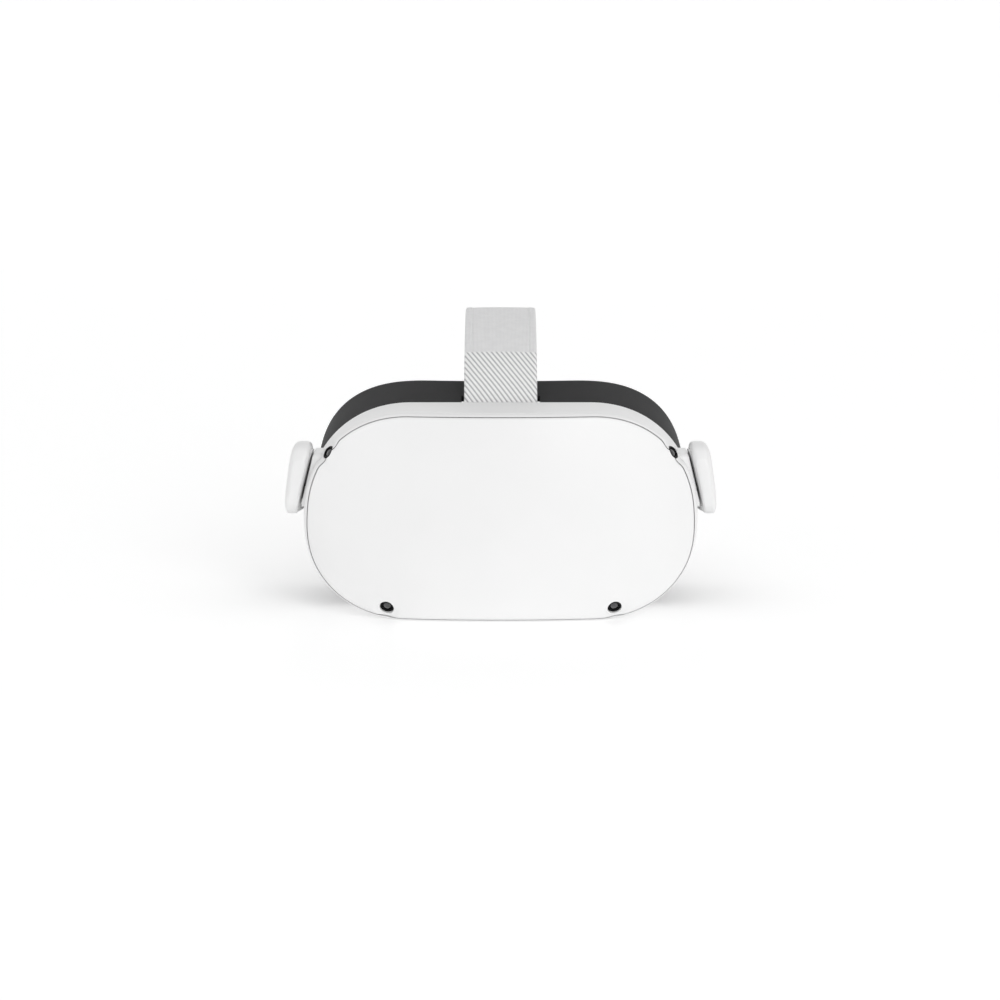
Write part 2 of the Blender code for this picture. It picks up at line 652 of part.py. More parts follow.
def lens(side, centre):
    """A thick plano-convex lens in its barrel."""
    profile = [(0, 2.2), (LENS_RADIUS - 2, 2.2), (LENS_RADIUS, 3.0), (LENS_RADIUS, 4.6)]
    bulge = 3.2
    for k in range(1, 5):
        share = 1 - k / 5
        profile.append((LENS_RADIUS * share, 4.6 + bulge * (1 - share ** 2)))
    profile.append((0, 4.6 + bulge))
    turned(f"{side}_lens", profile, "optic", centre, (0, 1, 0), 40)


def pinion():
    outer = []
    for k in range(PINION_TEETH):
        middle = pi / 2 + 2 * pi * k / PINION_TEETH
        for radius, shift in ((3.15, -0.21), (4.55, -0.055), (4.55, 0.055), (3.15, 0.21)):
            outer.append((radius * cos(middle + shift), radius * sin(middle + shift)))
    inner = [(1.45 * x / sqrt(x * x + z * z), 1.45 * z / sqrt(x * x + z * z)) for x, z in outer]
    centre = (0, 0, PINION_Z)
    ring_prism("ipd_pinion", outer, inner, (RACK_Y[0] - 0.3, RACK_Y[1] + 0.3), "white_plastic", centre)
    pin = [(0, -4.2), (2.2, -4.2), (2.2, -3.2), (1.1, -3.2), (1.1, 2.7), (0, 2.7)]
    turned("pinion_pin", pin, "steel", centre, (0, 1, 0), 12)


# ---------------------------------------------------------------- facial interface

def rim_y(x, z):
    """Depth of the interface's rear rim, which wraps round the face."""
    return 42.0 + 16.0 * (x / 80.0) ** 2 + 3.0 * (1 - z / 90.0)


def interface_line(inset, share, nose=NOSE_RISE):
    """Outline between the shell's (share 0) and the face's (share 1), inset all round."""
    def blend(near, far):
        return near + (far - near) * share

    half = blend(HALF_WIDTH - 0.8, INTERFACE_HALF_WIDTH)
    top = blend(VISOR_TOP - 0.8, INTERFACE_TOP)
    power = blend(UPPER_POWER, INTERFACE_POWER)
    corner = blend(CORNER_START, INTERFACE_CORNER)
    return outline(half - inset, inset, top - inset, upper_power=power, nose=nose * share, corner=corner)


def interface_ring(inset, share):
    """One ring of the spacer: its depth runs from the shell's rear to the face."""
    start = SHELL_REAR + 2 * GAP
    return [(x, start + (rim_y(x, z) - start) * share, z) for x, z in interface_line(inset, share)]


def facial_interface():
    def sleeve(inset, y):
        return [(x, y, z) for x, z in interface_line(inset, 0.0)]

    rings = [sleeve(2.9, 7.0), sleeve(2.9, SHELL_REAR + GAP), interface_ring(0, 0), interface_ring(0, 0.35),
             interface_ring(0, 0.7), interface_ring(0, 1), interface_ring(2.2, 1), interface_ring(2.2, 0.7),
             interface_ring(2.4, 0.35), interface_ring(4.9, 0), sleeve(4.9, 7.0)]
    spacer = loft("facial_interface", rings, "dark_plastic", (0, 7.0, MID_Z), closed=True)
    reach = STRAP_HALF_WIDTH + 1.2
    cut(spacer, box("cut_strap", (-reach, 5.0, 82), (reach, 24.0, 104), None))


def face_cushion():
    """A closed foam ring with a rounded section, on the interface's rim."""
    section = []
    width, depth = 11.0, CUSHION_DEPTH
    for k in range(10):
        a = 2 * pi * k / 10 + pi / 10
        section.append((width / 2 * (1 - abs(cos(a)) ** 0.7 * (1 if cos(a) > 0 else -1)),
                        depth / 2 * (1 + abs(sin(a)) ** 0.7 * (1 if sin(a) > 0 else -1))))
    rings = [
        [(x, rim_y(x, z) + GAP + back, z) for x, z in interface_line(inset + 0.3, 1.0)]
        for inset, back in section
    ]
    loft("face_cushion", rings, "foam", (0, 7.0, MID_Z), closed=True)


# ---------------------------------------------------------------- arms

# Arm stations: depth, foot and head from the pivot's height, and the inner and outer faces there.
ARM_STATIONS = (
    (-14.5, -6.0, 5.5, 87.5, 92.0),
    (-12.5, -12.0, 11.8, 86.4, 93.4),
    (-8.0, -15.6, 15.6, 85.7, 94.0),
    (0.0, -16.4, 16.2, 85.6, 94.2),
    (20.0, -15.8, 15.6, 86.5, 94.4),
    (45.0, -13.8, 14.2, 87.0, 94.0),
    (70.0, -11.8, 13.0, 86.8, 93.2),
    (90.0, -10.4, 12.0, 86.2, 92.0),
    (94.0, -9.4, 11.0, 86.6, 91.4),
)


def fall(point):
    """Hangs a point of the level strap frame down towards the rear."""
    x, y, z = point
    return (x, y, z - ARM_FALL * (y - PIVOT_Y))


def arm_station(y):
    for first, second in zip(ARM_STATIONS, ARM_STATIONS[1:]):
        if first[0] <= y <= second[0]:
            t = (y - first[0]) / (second[0] - first[0])
            return tuple(a + (b - a) * t for a, b in zip(first, second))
    raise ValueError(y)


def arm_x(y, rise):
    """Inner and outer faces of an arm at depth y and height above its middle line; the lean fades to the rear."""
    _, _, _, inner, outer = arm_station(y)
    lean = rise * min(1.0, max(0.0, (48.0 - y) / 40.0))
    return inner - ARM_SLANT * lean, outer - OUTER_SLANT * lean


def arm_depths(first, last, step=7.0):
    """Evenly spaced depths between two, and the stations among them."""
    count = max(1, round((last - first) / step))
    spread = [first + (last - first) * k / count for k in range(count + 1)]
    near = [s[0] for s in ARM_STATIONS[:3] if first < s[0] < last]
    return sorted(set(spread + near))


def arm_ring(y, sign, count=16):
    _, foot, head, _, _ = arm_station(y)
    ring = []
    for k in range(count):
        a = 2 * pi * k / count + pi / count
        across = abs(cos(a)) ** 0.55 * (1 if cos(a) > 0 else -1)
        up = abs(sin(a)) ** 0.55 * (1 if sin(a) > 0 else -1)
        rise = (foot + head) / 2 + up * (head - foot) / 2
        inner, outer = arm_x(y, rise)
        ring.append(fall((sign * ((inner + outer) / 2 + across * (outer - inner) / 2), y, PIVOT_Z + rise)))
    return ring


def arm_slab(name, sign, first, last, margin, faces, finish, origin=(0, 0, 0)):
    """A slab inside an arm. Margin is its distance from foot and head, and faces gives its two x limits."""
    rings = []
    for y in arm_depths(first, last):
        _, foot, head, _, _ = arm_station(y)
        low, high = foot + margin, head - margin
        ring = []
        for share, which in ((0, 0), (0.43, 0), (1, 0), (1, 1), (0.43, 1), (0, 1)):
            rise = low + (high - low) * share
            ring.append(fall((sign * faces(*arm_x(y, rise))[which], y, PIVOT_Z + rise)))
        rings.append(ring)
    return loft(name, rings, finish, origin)


def arms():
    for side, sign in SIDES.items():
        pivot = (sign * 86.4, PIVOT_Y, PIVOT_Z)
        rings = [arm_ring(y, sign) for y in arm_depths(ARM_STATIONS[0][0], ARM_STATIONS[-1][0])]
        shell = loft(f"{side}_arm_shell", rings, "white_plastic", pivot)
        cut(shell, arm_slab(f"cut_pocket_{side}", sign, -10.0, 66.0, 3.2, lambda i, o: (i - 3, o - 1.7), None))
        slot = [[fall((sign * x, y, PIVOT_Z + rise)) for x, rise in ((87.2, -8.0), (91.0, -8.0), (91.0, 11.6),
                (87.2, 11.6))] for y in (81.5, 96)]
        cut(shell, loft(f"cut_band_{side}", slot, None))
        lid = arm_slab(f"{side}_arm_cover", sign, -9.7, 65.7, 3.6, lambda i, o: (i + 0.1, i + 1.6), "white_plastic",
                       pivot)
        bore = [(0, -8), (PIN_RADIUS + GAP, -8), (PIN_RADIUS + GAP, 8), (0, 8)]
        cut(lid, turned(f"cut_lid_{side}", bore, None, pivot, (1, 0, 0), 24))
        for y in (47.0, 49.8, 54.0, 56.8):
            x, _, z = fall((sign * 87.0, y, PIVOT_Z + 2.0))
            cut(lid, box(f"cut_sound_{side}_{y:.0f}", (x - 4, y - 0.7, z - 5.5), (x + 4, y + 0.7, z + 5.5), None))
        speaker(side, sign, pivot)
        pin = [(0, 77.5), (5.4, 77.5), (5.4, 78.8), (PIN_RADIUS, 78.8), (PIN_RADIUS, 89.0), (5.6, 89.0), (5.6, 90.3),
               (0, 90.3)]
        turned(f"{side}_pivot_pin", pin, "grey_plastic", (0, PIVOT_Y, PIVOT_Z), (sign, 0, 0), 24)


def speaker(side, sign, pivot):
    arm_slab(f"{side}_speaker", sign, 41.0, 64.0, 5.5, lambda i, o: (i + 2.0, o - 2.1), "dark_plastic", pivot)


# ---------------------------------------------------------------- head strap

def head_point(angle, out=0.0):
    """A point on the head ellipse in plan, moved outwards along its normal."""
    x, y = HEAD_HALF_WIDTH * cos(angle), HEAD_Y + HEAD_LENGTH * sin(angle)
    normal = Vector((cos(angle) / HEAD_HALF_WIDTH, sin(angle) / HEAD_LENGTH)).normalized()
    return x + normal.x * out, y + normal.y * out


def band_rise(angle):
    """Height of a side band's middle line above the pivot, before it hangs down."""
    share = max(0.0, (angle - BAND_START) / (BAND_END - BAND_START))
    return 1.8 - 9.0 * share * share


def side_bands():
    for side, sign in SIDES.items():
        rings = []
        steps = 18
        for k in range(steps + 1):
            angle = BAND_START + (BAND_END - BAND_START) * k / steps
            z = PIVOT_Z + band_rise(angle)
            half = BAND_THICK / 2
            ring = []
            for out, up in ((-half, -1), (half, -1), (half, 1), (-half, 1)):
                x, y = head_point(angle, out)
                ring.append(fall((sign * x, y, z + up * BAND_HEIGHT / 2)))
            rings.append(ring)
        loft(f"{side}_side_band", rings, "strap_fabric", (sign * 86.4, PIVOT_Y, PIVOT_Z))


def band_place(angle, sign):
    """Centre of the band at this angle, and the way it runs there."""
    spots = []
    for turn in (angle - 0.02, angle, angle + 0.02):
        x, y = head_point(turn)
        spots.append(Vector(fall((sign * x, y, PIVOT_Z + band_rise(turn)))))
    return spots[1], (spots[2] - spots[0]).normalized()


def band_sliders():
    """Rounded loops that the bands run through; the long way is along the band."""
    for side, sign in SIDES.items():
        centre, along = band_place(SLIDER_ANGLE, sign)
        turn = Matrix.Rotation(atan2(along.y, along.x), 3, "Z") @ Matrix.Rotation(-asin(along.z), 3, "Y")
        outer, inner = [], []
        for k in range(20):
            a = 2 * pi * k / 20 + pi / 20
            across = abs(cos(a)) ** 0.5 * (1 if cos(a) > 0 else -1)
            up = abs(sin(a)) ** 0.5 * (1 if sin(a) > 0 else -1)
            outer.append((across * 4.6, up * (BAND_HEIGHT / 2 + 3.8)))
            inner.append((across * 2.5, up * (BAND_HEIGHT / 2 + 1.6)))
        rings = [[(x, a * s, b * s) for a, b in line]
                 for line, x, s in ((outer, -7, 0.94), (outer, -6, 1), (outer, 6, 1), (outer, 7, 0.94),
                                    (inner, 7, 1), (inner, -7, 1))]
        loft(f"{side}_band_slider", rings, "white_plastic", centre, closed=True, turn=turn)


CRADLE_LOW, CRADLE_SHOULDER, CRADLE_TOP = -17.5, 1.5, 43.5   # from the pivot's height
CRADLE_HEAD_HALF = 17.5


def cradle_point(angle, rise, out):
    """On the rear of the head ellipse, leaning forward above the nape."""
    x, y = head_point(angle, out)
    return fall((x, y - 0.0034 * max(0.0, rise + 8.5) ** 2, PIVOT_Z + rise))


def rear_cradle():
    """The triangular web that cups the back of the head, with a triangular window."""
    rings = []
    levels, columns = 9, 10
    wide = HEAD_HALF_WIDTH * cos(CRADLE_EDGE)
    for k in range(levels + 1):
        rise = CRADLE_LOW + (CRADLE_TOP - CRADLE_LOW) * k / levels
        share = max(0.0, (rise - CRADLE_SHOULDER) / (CRADLE_TOP - CRADLE_SHOULDER))
        half = wide + (CRADLE_HEAD_HALF - wide) * share - 4.0 * max(0.0, (CRADLE_LOW + 5 - rise) / 5)
        edge = acos(half / HEAD_HALF_WIDTH)
        angles = [pi - edge - (pi - 2 * edge) * j / columns for j in range(columns + 1)]
        ring = [cradle_point(a, rise, -1.4) for a in angles]
        ring += [cradle_point(a, rise, 1.4) for a in reversed(angles)]
        rings.append(ring)
    web = loft("rear_cradle", rings, "strap_fabric", (0, PIVOT_Y, PIVOT_Z))
    centre = PIVOT_Z - ARM_FALL * (250 - PIVOT_Y)
    window = [(x, centre + rise) for x, rise in ((-23, -2), (23, -2), (9, 26), (-9, 26))]
    cut(web, prism("cut_window", window, "XZ", (225, 265)))


# The top strap's middle line, in depth and height: up from its bracket, over the crest and down to the cradle.
STRAP_ROUTE = (
    (17.7, 85.2), (18.2, 91.0), (22.6, 97.6), (32.0, 106.0), (45.0, 113.2), (62.0, 119.4), (82.0, 123.6),
    (102.0, 124.4), (125.0, 121.0), (155.0, 110.6), (190.0, 94.8), (218.0, 80.4), (231.0, 73.0), (238.2, 67.4),
    (240.5, 62.8), (242.0, 58.2),
)
STRAP_STEPS = 3
TAB_SPAN = (2, 12)           # the tab's first and last step along the route


def ribbon(name, points, normals, low, high, half_width, finish, origin=(0, 0, 0)):
    """A flat band: points run along its middle in Y and Z, and low and high are its faces along the normals."""
    rings = []
    for point, normal in zip(points, normals):
        a, b = point + normal * low, point + normal * high
        rings.append([(-half_width, a.y, a.z), (half_width, a.y, a.z), (half_width, b.y, b.z), (-half_width, b.y, b.z)])
    return loft(name, rings, finish, origin)


def route_normals(points):
    normals = []
    for k in range(len(points)):
        way = points[min(k + 1, len(points) - 1)] - points[max(k - 1, 0)]
        normals.append(Vector((0, -way.z, way.y)).normalized())
    return normals


def top_strap():
    points = smooth_route([Vector((0, y, z)) for y, z in STRAP_ROUTE], STRAP_STEPS)
    normals = route_normals(points)
    half = STRAP_THICK / 2
    ribbon("top_strap", points, normals, -half, half, STRAP_HALF_WIDTH, "strap_fabric")
    first, last = TAB_SPAN
    ribbon("top_strap_tab", points[first:last], normals[first:last], half + 0.3, half + 0.3 + TAB_THICK,
           STRAP_HALF_WIDTH, "rib_fabric")


def strap_anchor():
    """A bracket on the eye plate whose bar holds the front loop of the top strap."""
    anchor = box("strap_anchor", (-20.5, 5.8, 80.2), (20.5, 7.4, 84.2), "dark_plastic", 0.3)
    for sign in SIDES.values():
        join(anchor, box(f"anchor_leg_{sign}", (sign * 19 - 1.5, 6.4, 80.2), (sign * 19 + 1.5, 19.0, 84.2), None))
    join(anchor, box("anchor_bar", (-20.0, 15.6, 81.2), (20.0, 18.6, 84.0), None))


# ---------------------------------------------------------------- assembly

def main():
    clear_scene()
    front_cover()
    main_shell()
    eye_plate()
    plate_screws()
    chassis_frame()
    guide_rods()
    electronics()
    tracking_cameras()
    buttons()
    lens_barrels()
    pinion()
    facial_interface()
    face_cushion()
    arms()
    side_bands()
    band_sliders()
    rear_cradle()
    top_strap()
    strap_anchor()


main()
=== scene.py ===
"""The looks of a standalone VR headset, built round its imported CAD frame.

Shapes are worked out in millimetres and turned into metres by add_mesh; lights, cameras and materials are in metres.
+X is the wearer's left, the front cover looks along -Y and +Z is up.
"""

from math import atan2, cos, pi, radians, sin, sqrt

import bmesh
import bpy
import numpy as np
from mathutils import Matrix, Vector


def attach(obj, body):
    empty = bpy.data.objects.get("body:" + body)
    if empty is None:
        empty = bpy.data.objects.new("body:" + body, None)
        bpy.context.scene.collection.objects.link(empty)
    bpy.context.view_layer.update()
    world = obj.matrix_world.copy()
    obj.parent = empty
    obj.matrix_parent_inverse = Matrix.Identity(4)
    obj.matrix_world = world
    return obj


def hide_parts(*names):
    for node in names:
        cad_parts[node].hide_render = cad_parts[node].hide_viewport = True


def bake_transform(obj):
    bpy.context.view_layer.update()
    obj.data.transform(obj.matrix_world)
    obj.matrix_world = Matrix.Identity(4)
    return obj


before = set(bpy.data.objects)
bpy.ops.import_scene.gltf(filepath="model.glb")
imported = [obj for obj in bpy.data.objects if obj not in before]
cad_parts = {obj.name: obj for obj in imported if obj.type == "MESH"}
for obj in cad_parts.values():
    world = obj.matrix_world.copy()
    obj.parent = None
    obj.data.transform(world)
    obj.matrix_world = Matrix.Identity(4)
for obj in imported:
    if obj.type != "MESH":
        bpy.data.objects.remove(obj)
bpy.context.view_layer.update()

MM = 0.001
SIDES = {"left": 1, "right": -1}

# The CAD model's driving sizes.
GAP = 0.4
HALF_WIDTH, MID_Z, CORNER_START = 86.4, 44.3, 39.4
COVER_TOP, VISOR_TOP = 92.1, 91.7
UPPER_POWER, LOWER_POWER = 2.13, 2.2
FRONT_Y, FACE_RADIUS_X, FACE_RADIUS_Z = -34.0, 280.0, 300.0
EDGE_RADIUS, WALL, SHELL_REAR, LEDGE_DEPTH = 3.0, 2.0, 14.0, 3.0
ROLL_DEPTH, ROLL_WIDTH, ROLL_HEIGHTS = 2.5, 13.0, (30.0, 72.0)
SEAM_INSETS, SEAM_HEIGHTS = (0.6, 1.5), (22.0, 50.0)
EYE_Z, HALF_IPD, LENS_RADIUS = 47.0, 31.5, 20.0
INTERFACE_HALF_WIDTH, INTERFACE_TOP, INTERFACE_CORNER, INTERFACE_POWER = 84.5, 97.7, 30.0, 2.67
NOSE_RISE, NOSE_HALF_WIDTH = 33.0, 17.0
PIVOT_Y, PIVOT_Z, PIN_RADIUS = -3.0, 60.5, 4.2
ARM_SLANT, OUTER_SLANT, BOSS_FACE, ARM_FALL = 0.242, 0.135, 84.6, 0.158
HEAD_Y, HEAD_HALF_WIDTH, HEAD_LENGTH = 105.0, 89.6, 150.0
BAND_HEIGHT, BAND_THICK = 19.0, 2.2
BAND_START, BAND_END, SLIDER_ANGLE, CRADLE_EDGE = radians(-8), radians(61.2), radians(51), radians(61.5)
STRAP_HALF_WIDTH, STRAP_THICK, TAB_THICK = 16.35, 2.0, 1.4
CAMERAS = {
    "upper": (Vector((75.4, -19.8, 74.1)), Vector((0.733, -0.416, 0.538)).normalized()),
    "lower": (Vector((49.8, -25.2, 6.3)), Vector((0.155, -0.822, -0.547)).normalized()),
}
CAMERA_RADIUS, RIDGE_DROP, SLOPE_DROP, DISH_REACH = 3.0, 1.45, 0.16, {"upper": 8.5, "lower": 6.5}
DISH_AXES = {"upper": (-0.568, 0.0, 0.823), "lower": (0.223, 0.570, -0.790)}
USB_SPOT, JACK_SPOT = (1, -3.0, 38.0), (1, -3.0, 27.0)
POWER_SPOT, LIGHT_SPOT = (-1, -3.0, 36.0), (-1, -3.0, 27.0)
ROCKER_X, ROCKER_Y, ROCKER_HALF = -60.0, -6.0, 9.0
ARM_STATIONS = np.array((   # depth, foot, head, inner face, outer face
    (-14.5, -8.0, 7.6, 86.8, 92.2), (-12.5, -13.0, 12.8, 86.0, 93.5), (-8.0, -15.6, 15.6, 85.7, 94.0),
    (0.0, -16.4, 16.2, 85.6, 94.2), (20.0, -15.8, 15.6, 86.5, 94.4), (45.0, -13.8, 14.2, 87.0, 94.0),
    (70.0, -11.8, 13.0, 86.8, 93.2), (90.0, -10.4, 12.0, 86.2, 92.0), (94.0, -9.4, 11.0, 86.6, 91.4),
))
STRAP_ROUTE = (
    (17.7, 85.2), (18.2, 91.0), (22.6, 97.6), (32.0, 106.0), (45.0, 113.2), (62.0, 119.4), (82.0, 123.6),
    (102.0, 124.4), (125.0, 121.0), (155.0, 110.6), (190.0, 94.8), (218.0, 80.4), (231.0, 73.0), (238.2, 67.4),
    (240.5, 62.8), (242.0, 58.2),
)
CRADLE_LOW, CRADLE_SHOULDER, CRADLE_TOP, CRADLE_HEAD_HALF = -17.5, 1.5, 43.5, 17.5


# ---------------------------------------------------------------- materials

class Look:
    """A procedural material being put together; its textures follow the row frame, in metres."""

    def __init__(self, name, colour, roughness, **sockets):
        self.material = bpy.data.materials.new(name)
        self.material.use_nodes = True
        self.tree = self.material.node_tree
        self.shader = self.tree.nodes["Principled BSDF"]
        self.shader.inputs["Base Color"].default_value = (*colour, 1)
        self.shader.inputs["Roughness"].default_value = roughness
        for key, value in sockets.items():
            self.shader.inputs[key.replace("_", " ")].default_value = value
        self.coords = self.node("ShaderNodeTexCoord")
        self.place = self.coords.outputs["Object"]
        self.normal = None
        self.material.diffuse_color = (*colour, 1)

    def node(self, kind, values=(), **settings):
        made = self.tree.nodes.new(kind)
        for key, value in settings.items():
            setattr(made, key, value)
        for key, value in dict(values).items():
            self.feed(made.inputs[key], value)
        return made

    def feed(self, socket, value):
        if isinstance(value, bpy.types.NodeSocket):
            self.tree.links.new(value, socket)
        else:
            socket.default_value = value

    def maths(self, operation, *values):
        return self.node("ShaderNodeMath", dict(enumerate(values)), operation=operation).outputs[0]

    def noise(self, scale, detail=2.0, stretch=None):
        place = self.place
        if stretch:
            place = self.node("ShaderNodeMapping", {"Vector": place, "Scale": stretch}).outputs[0]
        values = {"Vector": place, "Scale": scale, "Detail": detail}
        return self.node("ShaderNodeTexNoise", values).outputs["Fac"]

    def cells(self, scale):
        values = {"Vector": self.place, "Scale": scale}
        return self.node("ShaderNodeTexVoronoi", values, feature="F1").outputs["Distance"]

    def span(self, value, low, high, to_low=0.0, to_high=1.0):
        values = {"Value": value, "From Min": low, "From Max": high, "To Min": to_low, "To Max": to_high}
        return self.node("ShaderNodeMapRange", values).outputs["Result"]

    def mixed(self, share, first, second):
        made = self.node("ShaderNodeMix", data_type="RGBA")
        for key, value in zip((0, 6, 7), (share, first, second)):
            value = (*value, 1) if isinstance(value, tuple) and len(value) == 3 else value
            self.feed(made.inputs[key], value)
        return made.outputs[2]

    def paint(self, socket, value):
        self.feed(self.shader.inputs[socket], value)

    def bump(self, height, distance, strength):
        values = {"Height": height, "Distance": distance, "Strength": strength}
        if self.normal:
            values["Normal"] = self.normal
        self.normal = self.node("ShaderNodeBump", values).outputs["Normal"]
        self.paint("Normal", self.normal)

    def weave(self, across, along, uv=False):
        """A plain weave: its height, for threads this far apart in metres."""
        source = self.coords.outputs["UV"] if uv else self.place
        parts = self.node("ShaderNodeSeparateXYZ", {"Vector": source}).outputs
        first, second = (parts[0], parts[1]) if uv else (parts[0], parts[2])
        u, v = self.maths("DIVIDE", first, across), self.maths("DIVIDE", second, along)
        over = self.maths("PINGPONG", self.maths("ADD", self.maths("FLOOR", u), self.maths("FLOOR", v)), 1.0)
        rise_u = self.maths("ABSOLUTE", self.maths("SINE", self.maths("MULTIPLY", u, pi)))
        rise_v = self.maths("ABSOLUTE", self.maths("SINE", self.maths("MULTIPLY", v, pi)))
        warp = self.maths("MULTIPLY", rise_u, self.maths("POWER", rise_v, 0.4))
        weft = self.maths("MULTIPLY", rise_v, self.maths("POWER", rise_u, 0.4))
        mix = self.node("ShaderNodeMix", {0: over, 2: warp, 3: weft}, data_type="FLOAT")
        return mix.outputs[0]


def moulded(name, colour, roughness, grain=1.0, cloud=0.03, **sockets):
    """Injection-moulded plastic: a fine spark-eroded grain, faint clouding and a gloss that isn't quite even."""
    look = Look(name, colour, roughness, **sockets)
    drift = look.noise(14.0, 3.0)
    fine = look.noise(3800.0, 2.0)
    dim = tuple(c * (1 - cloud) for c in colour)
    look.paint("Base Color", look.mixed(look.span(drift, 0.35, 0.65), dim, colour))
    worn = look.maths("ADD", look.span(drift, 0.3, 0.7, -0.04, 0.05), look.span(fine, 0.3, 0.7, -0.03, 0.03))
    look.paint("Roughness", look.maths("ADD", worn, roughness))
    look.bump(fine, 0.00002 * grain, 0.35)
    look.bump(look.noise(420.0, 2.0), 0.00001 * grain, 0.3)
    return look.material


def brushed(name, colour, roughness, stretch):
    """Brushed or drawn metal: scratches run along the axis with the smallest stretch."""
    look = Look(name, colour, roughness, Metallic=1.0)
    lines = look.noise(300.0, 4.0, stretch=stretch)
    look.paint("Base Color", look.mixed(look.span(lines, 0.3, 0.7), tuple(c * 0.82 for c in colour), colour))
    look.paint("Roughness", look.span(lines, 0.3, 0.7, roughness - 0.08, roughness + 0.12))
    look.bump(lines, 0.00001, 0.4)
    return look.material


def woven(name, colour, thread):
    """Woven elastic: painted shade darkens the low points between the threads; a soft fuzz and a mottled dye."""
    look = Look(name, colour, 0.9, Sheen_Weight=0.25, Sheen_Roughness=0.45)
    height = look.weave(thread, thread * 1.25, uv=True)
    fuzz, mottle = look.noise(5200.0, 3.0), look.noise(260.0, 4.0)
    # painted shade: where the weave is low, between the threads, it takes this darker colour; the fuzz uses the same
    # colour at random
    shade_and_fuzz = tuple(c * 0.80 for c in colour)
    shaded_tone = look.mixed(look.span(height, 0.0, 0.75), shade_and_fuzz, colour)
    soft = look.mixed(look.span(mottle, 0.38, 0.62, 0.0, 0.16), shaded_tone, tuple(min(1.0, c * 1.22) for c in colour))
    look.paint("Base Color", look.mixed(look.span(fuzz, 0.40, 0.72, 0.0, 0.20), soft, shade_and_fuzz))
    look.paint("Roughness", look.span(height, 0.0, 1.0, 0.98, 0.84))
    look.bump(height, 0.00012, 0.8)
    look.bump(fuzz, 0.00004, 0.5)
    return look.material


def ribbed(name, colour, groove):
    """Twill ribs: painted shade darkens the grooves between them, broken up by the cross threads."""
    look = Look(name, colour, 0.85, Sheen_Weight=0.2, Sheen_Roughness=0.4)
    ridge = look.node("ShaderNodeAttribute", attribute_name="ridge").outputs["Fac"]
    parts = look.node("ShaderNodeSeparateXYZ", {"Vector": look.coords.outputs["UV"]}).outputs
    along = look.maths("SUBTRACT", parts[0], parts[1])
    threads = look.maths("ABSOLUTE", look.maths("SINE", look.maths("MULTIPLY", along, pi / 0.0011)))
    depth = look.maths("SUBTRACT", ridge, look.span(threads, 0.0, 1.0, 0.0, 0.16))
    fuzz = look.noise(4200.0, 3.0)
    # painted shade: the groove colour fills the low parts between the ribs; the fuzz also uses it at random
    shaded_tone = look.mixed(look.span(depth, 0.10, 0.55), groove, colour)
    look.paint("Base Color", look.mixed(look.span(fuzz, 0.4, 0.75, 0.0, 0.12), shaded_tone, groove))
    look.bump(threads, 0.00008, 0.5)
    look.bump(fuzz, 0.00005, 0.5)
    return look.material


def foam(name, colour):
    """Open-cell foam under a brushed knit: pores, pile and a faint sheen."""
    look = Look(name, colour, 0.95, Sheen_Weight=0.35, Sheen_Roughness=0.5)
    cells = look.cells(1150.0)
    pile = look.noise(3000.0, 4.0)
    light = tuple(c * 2.4 + 0.004 for c in colour)
    look.paint("Base Color", look.mixed(look.span(pile, 0.4, 0.7), colour, light))
    look.paint("Roughness", look.span(pile, 0.3, 0.7, 0.86, 0.98))
    look.bump(cells, 0.00018, 0.6)
    look.bump(pile, 0.00008, 0.6)
    return look.material


def knitted_seam(name, colour):
    look = Look(name, colour, 0.8, Sheen_Weight=0.2)
    twist = look.noise(900.0, 2.0, stretch=(1.0, 1.0, 3.0))
    look.paint("Base Color", look.mixed(look.span(twist, 0.35, 0.65), tuple(c * 0.6 for c in colour), colour))
    look.bump(twist, 0.00008, 0.7)
    return look.material


def lens_glass(name, sign):
    """A Fresnel lens: the fine concentric steps are in its bump, centred on the eye."""
    look = Look(name, (0.93, 0.96, 0.98), 0.03, IOR=1.49, Transmission_Weight=0.92, Coat_Weight=0.5)
    look.shader.inputs["Coat Roughness"].default_value = 0.02
    shift = {"Vector": look.place, "Location": (-sign * HALF_IPD * MM, 0, -EYE_Z * MM)}
    centred = look.node("ShaderNodeMapping", shift).outputs[0]
    parts = look.node("ShaderNodeSeparateXYZ", {"Vector": centred}).outputs
    squares = [look.maths("POWER", part, 2.0) for part in (parts[0], parts[2])]
    radius = look.maths("SQRT", look.maths("ADD", *squares))
    steps = look.maths("FRACT", look.maths("DIVIDE", radius, 0.00055))
    clear = look.span(radius, 0.004, 0.008)
    look.bump(look.maths("MULTIPLY", steps, clear), 0.00006, 0.5)
    dust = look.noise(900.0, 2.0)
    look.paint("Roughness", look.span(dust, 0.45, 0.8, 0.02, 0.07))
    return look.material


def camera_glass(name):
    """Near-black optical glass with a faint violet coating."""
    look = Look(name, (0.012, 0.011, 0.018), 0.04, IOR=1.6, Coat_Weight=1.0)
    look.shader.inputs["Coat Roughness"].default_value = 0.02
    film = look.noise(240.0, 2.0)
    look.paint("Base Color", look.mixed(look.span(film, 0.35, 0.65), (0.002, 0.002, 0.003), (0.008, 0.007, 0.014)))
    look.paint("Roughness", look.span(film, 0.3, 0.7, 0.02, 0.07))
    return look.material


def board(name):
    """Solder mask over copper: runs of track, pads and vias, with no print."""
    look = Look(name, (0.012, 0.07, 0.035), 0.35, Coat_Weight=0.3)
    flat = look.node("ShaderNodeMapping", {"Vector": look.place, "Rotation": (pi / 2, 0, 0)}).outputs[0]
    bricks = look.node("ShaderNodeTexBrick", {"Vector": flat, "Scale": 260.0, "Mortar Size": 0.06})
    pads = look.cells(420.0)
    track = look.mixed(bricks.outputs["Fac"], (0.010, 0.062, 0.030), (0.018, 0.115, 0.055))
    look.paint("Base Color", look.mixed(look.span(pads, 0.10, 0.16, 1.0, 0.0), track, (0.62, 0.50, 0.22)))
    look.bump(bricks.outputs["Fac"], 0.00004, 0.6)
    return look.material


